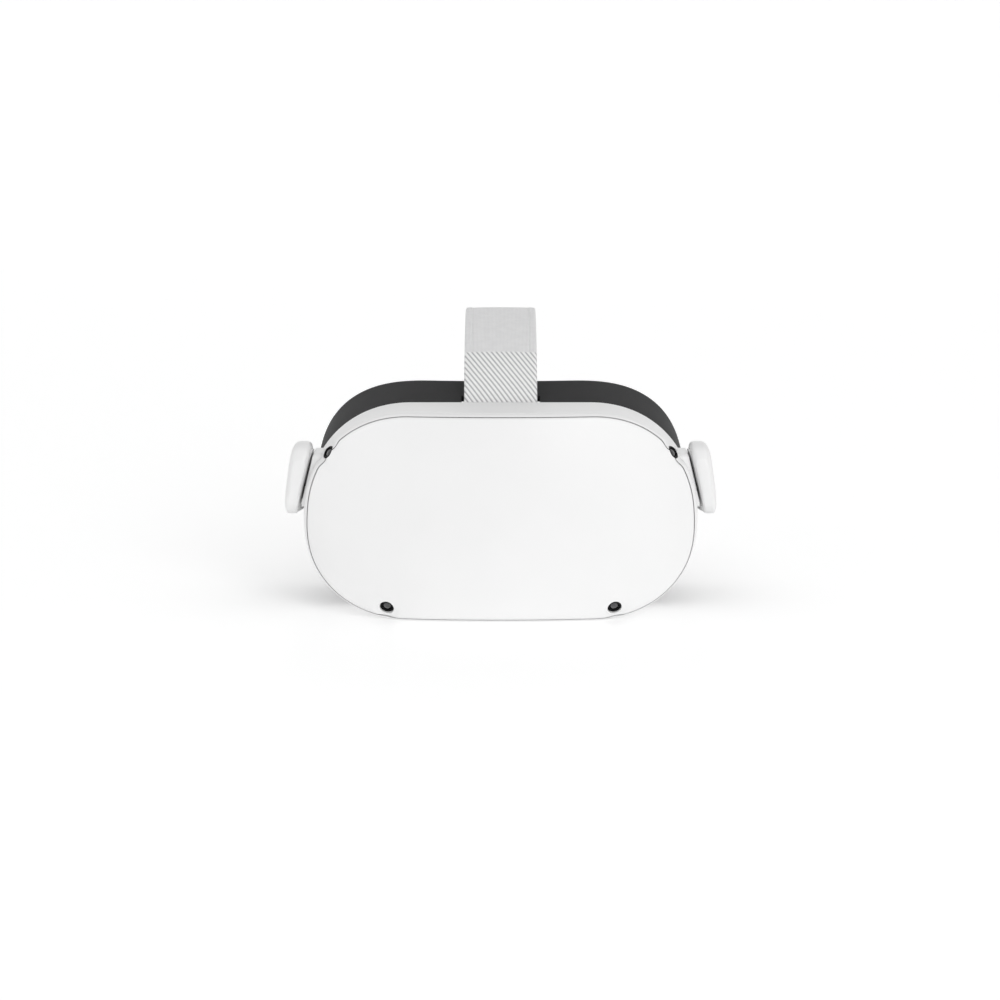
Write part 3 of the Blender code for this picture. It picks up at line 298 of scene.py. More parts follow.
def screen(name):
    """A display that is switched off: gloss over a barely visible pixel grid."""
    look = Look(name, (0.008, 0.008, 0.010), 0.08, Coat_Weight=0.8)
    grid = look.weave(0.00012, 0.00012)
    look.paint("Base Color", look.mixed(grid, (0.004, 0.004, 0.006), (0.014, 0.014, 0.018)))
    look.paint("Roughness", look.span(look.noise(60.0, 3.0), 0.3, 0.7, 0.05, 0.14))
    return look.material


def light_pipe(name):
    look = Look(name, (0.86, 0.90, 0.88), 0.25, Transmission_Weight=0.4, IOR=1.49)
    look.paint("Roughness", look.span(look.noise(1500.0, 2.0), 0.3, 0.7, 0.18, 0.34))
    look.bump(look.noise(2600.0, 2.0), 0.00002, 0.4)
    return look.material


LOOKS = {
    "white_plastic": moulded("satin_white_plastic", (0.86, 0.86, 0.86), 0.40),
    "arm_plastic": moulded("satin_white_arm_plastic", (0.84, 0.84, 0.84), 0.34),
    "dark_plastic": moulded("soft_black_plastic", (0.026, 0.026, 0.027), 0.6, grain=1.5, cloud=0.15,
                            Specular_IOR_Level=0.08),
    "grey_plastic": moulded("mid_grey_plastic", (0.20, 0.20, 0.21), 0.5, grain=1.5, cloud=0.08),
    "cushion_foam": foam("charcoal_foam", (0.016, 0.016, 0.018)),
    "strap_fabric": woven("pale_grey_elastic", (0.86, 0.86, 0.865), 0.00062),
    # its second colour is painted shade for the grooves between the ribs
    "rib_fabric": ribbed("white_ribbed_elastic", (0.95, 0.95, 0.95), (0.46, 0.46, 0.47)),
    "thread": knitted_seam("grey_thread", (0.60, 0.60, 0.61)),
    "black_thread": knitted_seam("black_thread", (0.045, 0.045, 0.05)),
    "camera_glass": camera_glass("coated_camera_glass"),
    "camera_ring": moulded("black_ring", (0.002, 0.002, 0.003), 0.35, grain=0.4, cloud=0.2, Specular_IOR_Level=0.12),
    "aluminium": brushed("brushed_aluminium", (0.62, 0.63, 0.65), 0.34, (1.0, 8.0, 8.0)),
    "steel": brushed("turned_steel", (0.50, 0.50, 0.51), 0.26, (0.6, 9.0, 9.0)),
    "circuit_board": board("green_solder_mask"),
    "screen": screen("dark_display"),
    "battery_wrap": moulded("battery_film", (0.045, 0.046, 0.055), 0.38, cloud=0.3),
    "light_pipe": light_pipe("frosted_light_pipe"),
    "left_optic": lens_glass("left_fresnel_lens", 1),
    "right_optic": lens_glass("right_fresnel_lens", -1),
}


# ---------------------------------------------------------------- builders

def add_mesh(name, points, faces, sharp=35, uv=None):
    """An object from points in millimetres and faces of point numbers, with its normals facing out."""
    mesh = bpy.data.meshes.new(name)
    mesh.from_pydata((np.asarray(points, float) * MM).tolist(), [], faces)
    if uv is not None:
        layer = mesh.uv_layers.new(name="UVMap")
        loops = np.zeros(len(mesh.loops), int)
        mesh.loops.foreach_get("vertex_index", loops)
        layer.data.foreach_set("uv", (np.asarray(uv, float)[loops] * MM).ravel())
    tool = bmesh.new()
    tool.from_mesh(mesh)
    bmesh.ops.recalc_face_normals(tool, faces=tool.faces)
    tool.to_mesh(mesh)
    tool.free()
    mesh.shade_smooth()
    mesh.set_sharp_from_angle(angle=radians(sharp))
    made = bpy.data.objects.new(name, mesh)
    bpy.context.scene.collection.objects.link(made)
    return made


def ring_faces(rows, columns, closed, start=0):
    """Quads between rows of points, each row a loop; closed joins the last row to the first."""
    faces = []
    for i in range(rows if closed else rows - 1):
        a, b = start + i * columns, start + (i + 1) % rows * columns
        faces += [(a + j, a + (j + 1) % columns, b + (j + 1) % columns, b + j) for j in range(columns)]
    return faces


def fan(first, columns, centre):
    """Triangles from a row of points to one point."""
    return [(first + j, first + (j + 1) % columns, centre) for j in range(columns)]


def loft(name, rings, closed=False, sharp=35, uv=None):
    """Skins rings of equal length. A closed loft joins its last ring to its first; an open one is capped by fans."""
    rings = np.asarray(rings, float)
    rows, columns = rings.shape[:2]
    points = rings.reshape(-1, 3)
    faces = ring_faces(rows, columns, closed)
    if not closed:
        for row in (0, rows - 1):
            faces += fan(row * columns, columns, len(points))
            points = np.vstack([points, rings[row].mean(0)])
            if uv is not None:
                uv = np.vstack([uv, uv[row * columns]])
    return add_mesh(name, points, faces, sharp, uv)


def axes_of(axis):
    turn = Vector(axis).to_track_quat("Z", "Y").to_matrix()
    return np.array([turn @ Vector(way) for way in ((1, 0, 0), (0, 1, 0), (0, 0, 1))])


def turned(name, profile, origin, axis, count=64, sharp=35):
    """A turned piece: profile is (radius, distance along axis); radii of 0 at both ends make it solid."""
    ways, origin = axes_of(axis), np.asarray(origin, float)
    angles = np.linspace(0, 2 * pi, count, endpoint=False)
    circle = np.outer(np.cos(angles), ways[0]) + np.outer(np.sin(angles), ways[1])
    solid = profile[0][0] == 0
    body = profile[1:-1] if solid else profile
    rings = np.array([origin + r * circle + along * ways[2] for r, along in body])
    faces = ring_faces(len(rings), count, not solid)
    points = rings.reshape(-1, 3)
    if solid:
        for row, along in ((0, profile[0][1]), (len(rings) - 1, profile[-1][1])):
            faces += fan(row * count, count, len(points))
            points = np.vstack([points, origin + along * ways[2]])
    return add_mesh(name, points, faces, sharp)


def drill(name, radius, low, high, origin, axis, count=64):
    """A round cutter that reaches from low to high along its axis."""
    return turned(name, [(0, low), (radius, low), (radius, high), (0, high)], origin, axis, count)


def extruded(name, line, way, span):
    """Sweeps a flat outline of (a, b) points: way 'X' sweeps (y, z) along X, and 'Y' sweeps (x, z) along Y."""
    return loft(name, [[(at, a, b) if way == "X" else (a, at, b) for a, b in line] for at in span])


def cut(obj, *cutters, sharp=35):
    """Cuts closed bodies out of an object and removes them."""
    for cutter in cutters:
        made = obj.modifiers.new(cutter.name, "BOOLEAN")
        made.operation, made.solver, made.object = "DIFFERENCE", "EXACT", cutter
    settle(obj, sharp)
    for cutter in cutters:
        bpy.data.objects.remove(cutter, do_unlink=True)


def settle(obj, sharp=35):
    """Turns an object's modifiers into its mesh."""
    bpy.context.view_layer.update()
    depsgraph = bpy.context.evaluated_depsgraph_get()
    mesh = bpy.data.meshes.new_from_object(obj.evaluated_get(depsgraph), preserve_all_data_layers=True,
                                           depsgraph=depsgraph)
    obj.modifiers.clear()
    obj.data = mesh
    mesh.shade_smooth()
    mesh.set_sharp_from_angle(angle=radians(sharp))


def add_piece(obj, look, body, replaces=()):
    obj.data.materials.clear()
    obj.data.materials.append(LOOKS[look])
    if replaces:
        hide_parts(*replaces)
    if body:
        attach(obj, body)
    return obj


def unit(rows):
    return rows / np.linalg.norm(rows, axis=1, keepdims=True)


def lengths_along(route):
    """How far along a route each of its points is."""
    return np.concatenate([[0], np.cumsum(np.linalg.norm(np.diff(route, axis=0), axis=1))])


def read_at(places, lengths, rows):
    """Rows of a table that runs along a route, read at the given places."""
    return np.column_stack([np.interp(places, lengths, rows[:, c]) for c in range(3)])


def signed_power(values, power):
    return np.sign(values) * np.abs(values) ** power


def rounded_box_line(half_a, half_b, power, count):
    """A superellipse outline as (a, b) points."""
    angles = (np.arange(count) + 0.5) * 2 * pi / count
    across, up = signed_power(np.cos(angles), power), signed_power(np.sin(angles), power)
    return np.column_stack([half_a * across, half_b * up])


def capsule(half_length, radius, count=16):
    ends = [(1, -pi / 2), (-1, pi / 2)]
    return [
        (end * (half_length - radius) + radius * cos(start + pi * k / count), radius * sin(start + pi * k / count))
        for end, start in ends for k in range(count + 1)
    ]


def through(x, y, at):
    """A monotone cubic through the points (x, y), read at the given places."""
    step, slope = np.diff(x), np.diff(y) / np.diff(x)
    tangent = np.zeros(len(x))
    for k in range(1, len(x) - 1):
        if slope[k - 1] * slope[k] > 0:
            tangent[k] = 2 / (1 / slope[k - 1] + 1 / slope[k])
    tangent[0], tangent[-1] = slope[0], slope[-1]
    k = np.clip(np.searchsorted(x, at, side="right") - 1, 0, len(step) - 1)
    t = (at - x[k]) / step[k]
    return ((1 + 2 * t) * (1 - t) ** 2 * y[k] + t * (1 - t) ** 2 * step[k] * tangent[k]
            + t * t * (3 - 2 * t) * y[k + 1] + t * t * (t - 1) * step[k] * tangent[k + 1])


# ---------------------------------------------------------------- visor

QUARTER, FLAT = 110, 72        # columns of each corner and of the straight top and bottom
LIP, LIP_ROUND = 0.34, 0.24     # width of the seam round the cover, and of the rounding on each side of it


def outline(half_width, low, high, power=UPPER_POWER, nose=0.0, corner=CORNER_START):
    """The rounded visor outline as (x, z) rows, anticlockwise from the widest point at +X."""
    angle = np.linspace(0, pi / 2, QUARTER + 1)

    def arc(side, height, which):
        across = np.clip(np.cos(angle), 0, 1) ** (2 / which)
        return np.column_stack([side * (corner + (half_width - corner) * across),
                                MID_Z + height * np.sin(angle) ** (2 / which)])

    def straight(side, z, arch):
        x = side * corner * (1 - 2 * np.arange(1, FLAT) / FLAT)
        rise = arch * np.maximum(0, 1 - (x / NOSE_HALF_WIDTH / 1.5) ** 2) ** 2
        return np.column_stack([x, z + rise])

    return np.vstack([
        arc(1, high - MID_Z, power), straight(1, high, 0.0), arc(-1, high - MID_Z, power)[:0:-1],
        arc(-1, low - MID_Z, LOWER_POWER), straight(-1, low, nose), arc(1, low - MID_Z, LOWER_POWER)[:0:-1],
    ])


def inset_outline(inset, top=COVER_TOP):
    return outline(HALF_WIDTH - inset, inset, top - inset)


def eased(z, heights):
    """0 below the first height, 1 above the second and smooth between."""
    t = np.clip((z - heights[0]) / (heights[1] - heights[0]), 0, 1)
    return t * t * (3 - 2 * t)


def on_face(x, z, back):
    """Puts points on the domed front surface, or behind it."""
    y = FRONT_Y + x ** 2 / (2 * FACE_RADIUS_X) + (z - MID_Z) ** 2 / (2 * FACE_RADIUS_Z) + back
    return np.column_stack([x, y, z])


def rim(inset, along_seam=0.0, depth=None, sink=0.0):
    """A ring near the front edge, on its rounding or at a depth; along_seam adds a share of the seam's inset."""
    base, step = inset_outline(0), inset_outline(1) - inset_outline(0)
    low, high = SEAM_INSETS
    at = inset + along_seam * (low + (high - low) * eased(base[:, 1], SEAM_HEIGHTS))
    line = base + step * at[:, None]
    turn_in = np.clip(EDGE_RADIUS - at, 0, EDGE_RADIUS)
    back = EDGE_RADIUS - np.sqrt(EDGE_RADIUS ** 2 - turn_in ** 2) if depth is None else depth
    roll = ROLL_DEPTH * np.clip(1 - at / ROLL_WIDTH, 0, 1) ** 2 * (1 - eased(base[:, 1], ROLL_HEIGHTS))
    return dished(on_face(line[:, 0], line[:, 1], back + roll + sink))


def middle(share, back):
    """A ring on the face inside its rolled edge."""
    line = inset_outline(ROLL_WIDTH)
    return on_face(line[:, 0] * share, MID_Z + (line[:, 1] - MID_Z) * share, back)


def dished(points):
    """Lowers the skin round each camera until it is nearly flush with the ring: an upper camera sits on the
    rounded edge, which drops along itself; a lower one looks down, so the skin drops below it."""
    for place, (spot, aim) in CAMERAS.items():
        for sign in SIDES.values():
            mirror = np.array((sign, 1, 1))
            away, way = points - np.array(spot) * mirror, np.array(aim) * mirror
            along = away @ way
            across = away - np.outer(along, way)
            radius = np.linalg.norm(across, axis=1)
            reach = across @ (np.array(DISH_AXES[place]) * mirror)
            drop = RIDGE_DROP * reach ** 2 / (radius ** 2 + 0.5) if place == "upper" \
                else SLOPE_DROP * np.clip(reach + CAMERA_RADIUS, 0, None)
            fade = (1 - eased(radius, (CAMERA_RADIUS + 0.3, DISH_REACH[place]))) * (np.abs(along) < 9)
            points = points - np.outer(drop * fade, way)
    return points


def flat_ring(inset, y):
    top = COVER_TOP + (VISOR_TOP - COVER_TOP) * (y + 20) / (SHELL_REAR + 20)
    line = inset_outline(inset, top)
    return np.column_stack([line[:, 0], np.full(len(line), float(y)), line[:, 1]])


def half_width_at(z):
    power, height = (UPPER_POWER, VISOR_TOP - MID_Z) if z > MID_Z else (LOWER_POWER, MID_Z)
    return CORNER_START + (HALF_WIDTH - CORNER_START) * (1 - (abs(z - MID_Z) / height) ** power) ** (1 / power)


def camera_places():
    for place, (spot, aim) in CAMERAS.items():
        for side, sign in SIDES.items():
            yield f"{place}_{side}", Vector((sign * spot.x, spot.y, spot.z)), Vector((sign * aim.x, aim.y, aim.z))


def camera_drills():
    return [drill(f"cutter_{name}", CAMERA_RADIUS + 0.22, -9, 8, spot, aim, 72)
            for name, spot, aim in camera_places()]


def pin_drill(name, x, reach):
    """A cutter for an arm's pivot pin, round the pivot axis and this far each way from x."""
    return drill(name, PIN_RADIUS + GAP, -reach, reach, (x, PIVOT_Y, PIVOT_Z), (1, 0, 0))


def front_cover():
    start = LIP + LIP_ROUND
    lip = [rim(start, 1.0), rim(LIP + 0.08, 1.0, sink=0.04), rim(LIP, 1.0, sink=0.2)]
    round_part = [rim(start + (EDGE_RADIUS - start) * t, 1 - t) for t in np.linspace(0, 1, 9)[1:]]
    rolled = [rim(inset) for inset in np.linspace(EDGE_RADIUS, ROLL_WIDTH, 15)[1:]]
    face = [middle(share, 0) for share in (0.97, 0.93, 0.88, 0.82, 0.74, 0.64, 0.52, 0.4, 0.28, 0.15, 0.02)]
    inner = [rim(LIP, 1.0, LEDGE_DEPTH - GAP), rim(EDGE_RADIUS, 0.0, LEDGE_DEPTH - GAP)]
    inner += [rim(inset, 0.0, WALL) for inset in (4.0, 6.0, 8.0, 10.0, ROLL_WIDTH)]
    rings = face[::-1] + rolled[::-1] + round_part[::-1] + lip + inner + [middle(s, WALL) for s in (0.65, 0.3, 0.02)]
    cover = loft("front_shell_cover", rings)
    cut(cover, *camera_drills())
    add_piece(cover, "white_plastic", "visor", ["front_cover"])


def main_shell():
    lip = [rim(0, 1.0, LEDGE_DEPTH), rim(0, 1.0, sink=0.2), rim(-0.08, 1.0, sink=0.04)]
    edge = [rim(-LIP_ROUND * t, t) for t in (1 - np.linspace(0, 1, 11)) ** 2]
    first, last = edge[-1], flat_ring(0, 0.0)
    side = [dished(first + (last - first) * t) for t in np.linspace(0, 1, 17)[1:]]
    side += [flat_ring(0, y) for y in np.linspace(1.5, SHELL_REAR - 1.3, 8)]
    rear = [flat_ring(1.5 * (1 - cos(a)), SHELL_REAR - 1.2 + 1.2 * sin(a)) for a in np.linspace(0.2, pi / 2, 6)]
    inside = [flat_ring(WALL, SHELL_REAR - 0.1), flat_ring(WALL, 7.0), flat_ring(WALL, 0.0)]
    inside += [rim(WALL, 0.0, LEDGE_DEPTH + 2.0), rim(WALL + 0.8, 0.0, LEDGE_DEPTH + 1.2),
               rim(WALL + 0.8, 0.0, LEDGE_DEPTH)]
    shell = loft("visor_shell", lip + edge + side + rear + inside, closed=True)
    cutters = camera_drills()
    for side_name, sign in SIDES.items():
        cutters.append(pin_drill(f"cutter_pivot_{side_name}", sign * half_width_at(PIVOT_Z), 6))
    for spot, half, radius in ((USB_SPOT, 4.9, 2.1), (POWER_SPOT, 5.3, 2.2), (JACK_SPOT, 2.9, 2.9),
                               (LIGHT_SPOT, 1.1, 1.1)):
        sign, y, z = spot
        x = sign * half_width_at(z)
        line = [(y + a, z + b) for a, b in capsule(half, radius * 0.9999)]     # so a round hole's ends don't meet
        cutters.append(extruded(f"cutter_{y}_{z}_{sign}", line, "X", (x - 6, x + 6)))
    cutters.append(rocker_bar("cutter_rocker", ROCKER_HALF + GAP, 2.4, 6, 4))
    for k in range(7):      # the vents; 15 steps round each end keep their points off the shell's middle column
        line = [((k - 3) * 7.0 + b, -9.0 + a) for a, b in capsule(5.0, 1.1, 15)]
        cutters.append(loft(f"cutter_vent_{k}", [[(x, y, z) for x, y in line] for z in (-2.0, 4.0)]))
    cut(shell, *cutters)
    add_piece(shell, "white_plastic", "visor", ["main_shell"])
    for side_name, sign in SIDES.items():
        pivot_boss(side_name, sign)


BOSS_PROUD = 0.6    # how far the bosses stand past their faces in CAD, towards the arms
BOSS_STATIONS = (   # depth, foot, head
    (-13.2, 50.8, 70.6), (-12.9, 49.6, 71.6), (-12.2, 48.9, 72.2), (-11.0, 48.5, 72.5), (-6.0, 48.2, 72.5),
    (4.0, 48.5, 72.5), (7.0, 49.1, 72.1), (8.5, 50.0, 71.5),
)


def pivot_boss(side, sign):
    """The wedge between the shell's curved side and the arm's leaning inner face, with softened edges."""
    rings = []
    for y, low, high in BOSS_STATIONS:
        z = np.linspace(low, high, 15)
        ease = np.minimum(1, np.minimum(z - low, high - z) / 1.2)
        end = min(1.0, (y + 13.4) / 1.6, (8.9 - y) / 1.6)
        outer = BOSS_FACE + BOSS_PROUD - ARM_SLANT * (z - PIVOT_Z) \
            - 0.5 * (1 - np.sqrt(np.clip(1 - (1 - ease) ** 2, 0, 1))) - 0.5 * (1 - max(0.0, end))
        inner = np.array([half_width_at(v) - 1.2 for v in z])
        rings.append([(sign * x, y, v) for x, v in [*zip(outer, z), *zip(inner[::-1], z[::-1])]])
    boss = loft(f"pivot_boss_{side}", rings, sharp=50)
    cut(boss, pin_drill(f"cutter_boss_{side}", sign * 80, 9), sharp=50)
    add_piece(boss, "arm_plastic", "visor")


def lower_wall(x):
    share = (-x - CORNER_START) / (HALF_WIDTH - CORNER_START)
    left = 1 - share ** LOWER_POWER
    slope = -MID_Z / (HALF_WIDTH - CORNER_START) * share ** (LOWER_POWER - 1) * left ** (1 / LOWER_POWER - 1)
    return MID_Z * (1 - left ** (1 / LOWER_POWER)), Vector((slope, -1)).normalized()


def rocker_bar(name, half, across, deep, proud, columns=25, crown=0.0):
    """A bar that follows the shell's lower corner, with rounded ends and edges where it has a crown."""
    rings = []
    for k in range(columns):
        u = -1 + 2 * k / (columns - 1)
        x = ROCKER_X + half * u
        z, normal = lower_wall(x)
        wide = across * sqrt(max(0.02, 1 - max(0.0, (abs(u) - 0.78) / 0.22) ** 2))
        top = proud - crown * (1 - min(1.0, (1 - abs(u)) / 0.10))
        dip = -0.28 * crown * (1 if abs(u) < 0.05 else 0)
        line = [(-deep, -wide), (-deep, wide), (top - crown, wide), (top - crown * 0.3, wide * 0.93),
                (top + dip, wide * 0.7), (top + dip, -wide * 0.7), (top - crown * 0.3, -wide * 0.93),
                (top - crown, -wide)]
        rings.append([(x + normal.x * out, ROCKER_Y + y, z + normal.y * out) for out, y in line])
    return loft(name, rings)


def buttons():
    rocker = rocker_bar("volume_rocker_cap", ROCKER_HALF, 2.0, 2.8, 0.6, 61, 0.5)
    add_piece(rocker, "white_plastic", "volume", ["volume_rocker"])
    sign, y, z = POWER_SPOT
    x = sign * half_width_at(z)
    rings = [
        [(x - out, y + a * grow, z + b * grow) for a, b in capsule(4.9, 1.8)]
        for out, grow in ((-3.2, 1.0), (0.3, 1.0), (0.55, 0.97), (0.72, 0.9), (0.8, 0.78), (0.74, 0.5))
    ]
    add_piece(loft("power_button_cap", rings), "white_plastic", "power", ["power_button"])


def ports():
    _, y, z = USB_SPOT
    x = half_width_at(z) - 0.6
    rings = []
    for half, radius, at in ((4.5, 1.65, x - 7), (4.5, 1.65, x - 0.15), (4.42, 1.57, x), (4.2, 1.35, x),
                             (4.1, 1.25, x - 0.12), (4.1, 1.25, x - 6)):
        rings.append([(at, y + a, z + b) for a, b in capsule(half, radius)])
    add_piece(loft("usb_socket", rings), "steel", "visor", ["usb_port"])
    tongue = extruded("usb_tongue", [(y + a, z + b) for a, b in capsule(3.2, 0.35, 6)], "X", (x - 5.9, x - 1.2))
    add_piece(tongue, "dark_plastic", "visor")
    _, y, z = JACK_SPOT
    profile = [(0, -10), (2.5, -10), (2.5, -0.15), (2.35, 0), (1.95, 0), (1.75, -0.2), (1.75, -8), (0, -8)]
    add_piece(turned("audio_socket", profile, (half_width_at(z) - 0.3, y, z), (1, 0, 0)), "dark_plastic", "visor",
              ["audio_jack"])
    _, y, z = LIGHT_SPOT
    profile = [(0, -4), (0.75, -4), (0.75, -0.1), (0.6, 0.05), (0, 0.12)]
    add_piece(turned("status_lens", profile, (-half_width_at(z) + 0.2, y, z), (-1, 0, 0), 32), "light_pipe", "visor",
              ["status_light"])


def tracking_cameras():
    """A gloss black ring, a stepped well and a domed glass for each camera."""
    ring = [(0, -7), (3.0, -7), (3.0, -0.30), (2.93, -0.10), (2.75, 0.0), (2.45, 0.02), (2.18, -0.10), (2.02, -0.34),
            (1.96, -0.9), (1.7, -1.0), (0, -1.0)]
    curve = [(1.9 * sin(a), -0.78 + 0.62 * cos(a)) for a in np.linspace(pi / 2, 0.06, 12)]
    dome = [(0, -0.9), *curve, (0, -0.16)]
    for name, spot, aim in camera_places():
        add_piece(turned(f"camera_ring_{name}", ring, spot, aim, 96, 40), "camera_ring", "visor",
                  [f"tracking_camera_{name}"])
        add_piece(turned(f"camera_dome_{name}", dome, spot, aim, 72, 60), "camera_glass", "visor",
                  [f"camera_window_{name}"])


# ---------------------------------------------------------------- optics

def optics():
    for side, sign in SIDES.items():
        centre = (sign * HALF_IPD, 0, EYE_Z)
        profile = [(0, 2.2), (LENS_RADIUS - 2, 2.2), (LENS_RADIUS, 3.0), (LENS_RADIUS, 4.6)]
        profile += [(LENS_RADIUS * s, 4.6 + 3.2 * (1 - s * s)) for s in np.linspace(0.99, 0.04, 22)] + [(0, 7.8)]
        add_piece(turned(f"{side}_fresnel_lens", profile, centre, (0, 1, 0), 128), f"{side}_optic", f"{side}_optic",
                  [f"{side}_lens"])
    for row, z in (("upper", 72.0), ("lower", 19.0)):
        for side, sign in SIDES.items():
            profile = [(0, -6), (0.9, -6), (0.9, 0), (2.0, 0), (2.0, 0.75), (1.9, 0.95), (1.6, 1.3), (1.4, 1.4),
                       (0.85, 1.4), (0.8, 0.7), (0, 0.7)]
            screw = turned(f"cover_screw_{row}_{side}", profile, (sign * 66.0, 5.8, z), (0, 1, 0), 6 * 12)
            add_piece(screw, "steel", "visor", [f"plate_screw_{row}_{side}"])


# ---------------------------------------------------------------- facial interface

def rim_y(line):
    return 42.0 + 16.0 * (line[:, 0] / 80.0) ** 2 + 3.0 * (1 - line[:, 1] / 90.0)


def interface_line(inset, share):
    def blend(near, far):
        return near + (far - near) * share

    top = blend(VISOR_TOP - 0.8, INTERFACE_TOP)
    return outline(blend(HALF_WIDTH - 0.8, INTERFACE_HALF_WIDTH) - inset, inset, top - inset,
                   blend(UPPER_POWER, INTERFACE_POWER), NOSE_RISE * share, blend(CORNER_START, INTERFACE_CORNER))


def interface_ring(inset, share):
    line = interface_line(inset, share)
    start = SHELL_REAR + 2 * GAP
    return np.column_stack([line[:, 0], start + (rim_y(line) - start) * share, line[:, 1]])


def behind_rim(inset, back):
    """A ring this far behind the interface's rear edge."""
    line = interface_line(inset + 0.3, 1.0)
    return np.column_stack([line[:, 0], rim_y(line) + GAP + back, line[:, 1]])


def facial_interface():
    def sleeve(inset, y):
        line = interface_line(inset, 0.0)
        return np.column_stack([line[:, 0], np.full(len(line), y), line[:, 1]])

    outer = [interface_ring(0, s) for s in np.linspace(0.04, 0.97, 26)]
    edge = [interface_ring(0.5, 0.0), interface_ring(0.15, 0.012)]
    rim = [interface_ring(0.12, 0.99), interface_ring(0.5, 1.0), interface_ring(1.7, 1.0), interface_ring(2.1, 0.99)]
    inner = [interface_ring(2.2 + 0.2 * min(1, (1 - s) / 0.65), s) for s in np.linspace(0.97, 0.35, 12)]
    inner += [interface_ring(2.4 + 2.5 * t, 0.35 * (1 - t)) for t in np.linspace(0.15, 1, 6)]
    rings = [sleeve(2.9, 7.0), sleeve(2.9, SHELL_REAR + GAP)] + edge + outer + rim + inner + [sleeve(4.9, 7.0)]
    spacer = loft("face_spacer", rings, closed=True)
    reach = STRAP_HALF_WIDTH + 1.2
    line = [(a, 93.0 + b) for a, b in rounded_box_line(reach, 11.0, 0.18, 40)]
    cut(spacer, extruded("cutter_strap_notch", line, "Y", (5.0, 24.0)))
    add_piece(spacer, "dark_plastic", "face_mask", ["facial_interface"])


def cushion_rings(width, depth, count, shift):
    rings = []
    for k in range(count):
        a = 2 * pi * k / count + pi / count
        inset = width / 2 * (1 - signed_power(cos(a), 0.7)) + shift
        back = depth / 2 * (1 + signed_power(sin(a), 0.7)) + shift
        rings.append(behind_rim(inset, back))
    return rings


def inflate(obj, voxel, cap, pressure=4.0, frames=20):
    """Swells a closed pad with cloth under pressure, and holds every point within cap of where it began."""
    made = obj.modifiers.new("voxels", "REMESH")
    made.mode, made.voxel_size = "VOXEL", voxel * MM
    settle(obj)
    mesh = obj.data
    rest = np.array([v.co for v in mesh.vertices])
    cloth = obj.modifiers.new("cloth", "CLOTH")
    settings = cloth.settings
    settings.quality, settings.mass = 5, 0.15
    settings.tension_stiffness = settings.compression_stiffness = 12
    settings.shear_stiffness, settings.bending_stiffness = 6, 0.6
    settings.use_pressure, settings.uniform_pressure_force = True, pressure
    settings.effector_weights.gravity = 0
    cloth.point_cache.frame_start, cloth.point_cache.frame_end = 1, frames
    scene = bpy.context.scene
    for frame_number in range(1, frames + 1):
        scene.frame_set(frame_number)
    shaped = obj.evaluated_get(bpy.context.evaluated_depsgraph_get()).to_mesh()
    moved = np.array([v.co for v in shaped.vertices]) - rest
    obj.modifiers.clear()
    length = np.linalg.norm(moved, axis=1, keepdims=True)
    moved *= np.minimum(1, cap * MM / np.maximum(length, 1e-9))
    mesh.vertices.foreach_set("co", (rest + moved).ravel())
    scene.frame_set(1)
    smooth = obj.modifiers.new("smooth", "SMOOTH")
    smooth.factor, smooth.iterations = 0.5, 6
    split = obj.modifiers.new("subdivision", "SUBSURF")
    split.levels = split.render_levels = 1
    settle(obj, 180)


def face_cushion():
    pad = loft("foam_cushion", cushion_rings(9.6, 9.6, 14, 0.7), closed=True)
    inflate(pad, 2.4, 1.6)
    add_piece(pad, "cushion_foam", "face_mask", ["face_cushion"])
    for name, inset in (("outer", 0.7), ("inner", 10.9)):
        add_piece(tube(f"cushion_piping_{name}", behind_rim(inset, 3.4), 0.55), "black_thread", "face_mask")


def tube(name, route, radius, count=10):
    """A round tube along a route that closes on itself."""
    way = unit(np.roll(route, -1, 0) - np.roll(route, 1, 0))
    side = np.cross(way, (0.0, 1.0, 0.0))
    side /= np.maximum(np.linalg.norm(side, axis=1, keepdims=True), 1e-9)
    up = np.cross(side, way)
    angles = np.linspace(0, 2 * pi, count, endpoint=False)
    rings = [p + radius * (np.outer(np.cos(angles), s) + np.outer(np.sin(angles), u))
             for p, s, u in zip(route, side, up)]
    return loft(name, rings, closed=True, sharp=80)


# ---------------------------------------------------------------- arms

def arm_at(y):
    """Foot, head, inner and outer faces of an arm at depth y."""
    return [through(ARM_STATIONS[:, 0], ARM_STATIONS[:, k], y) for k in range(1, 5)]


def lean_at(y):
    return min(1.0, max(0.0, (48.0 - y) / 40.0))


def fallen(points):
    """Hangs points of the level strap frame down towards the rear."""
    points = np.array(points, float)
    points[..., 2] -= ARM_FALL * (points[..., 1] - PIVOT_Y)
    return points


def arm_ring(y, sign, share=1.0, count=72):
    foot, head, inner, outer = arm_at(y)
    line = rounded_box_line(1.0, 1.0, 0.55, count)
    square = rounded_box_line(1.0, 1.0, 0.55 - 0.3 * eased(-y, (-25.0, 5.0)), count)
    line = np.where((line < 0).all(1, keepdims=True), square, line) * share
    rise = (foot + head) / 2 + line[:, 1] * (head - foot) / 2
    near, far = inner - ARM_SLANT * rise * lean_at(y), outer - OUTER_SLANT * rise * lean_at(y)
    x = sign * ((near + far) / 2 + line[:, 0] * (far - near) / 2)
    return fallen(np.column_stack([x, np.full(count, y), PIVOT_Z + rise]))


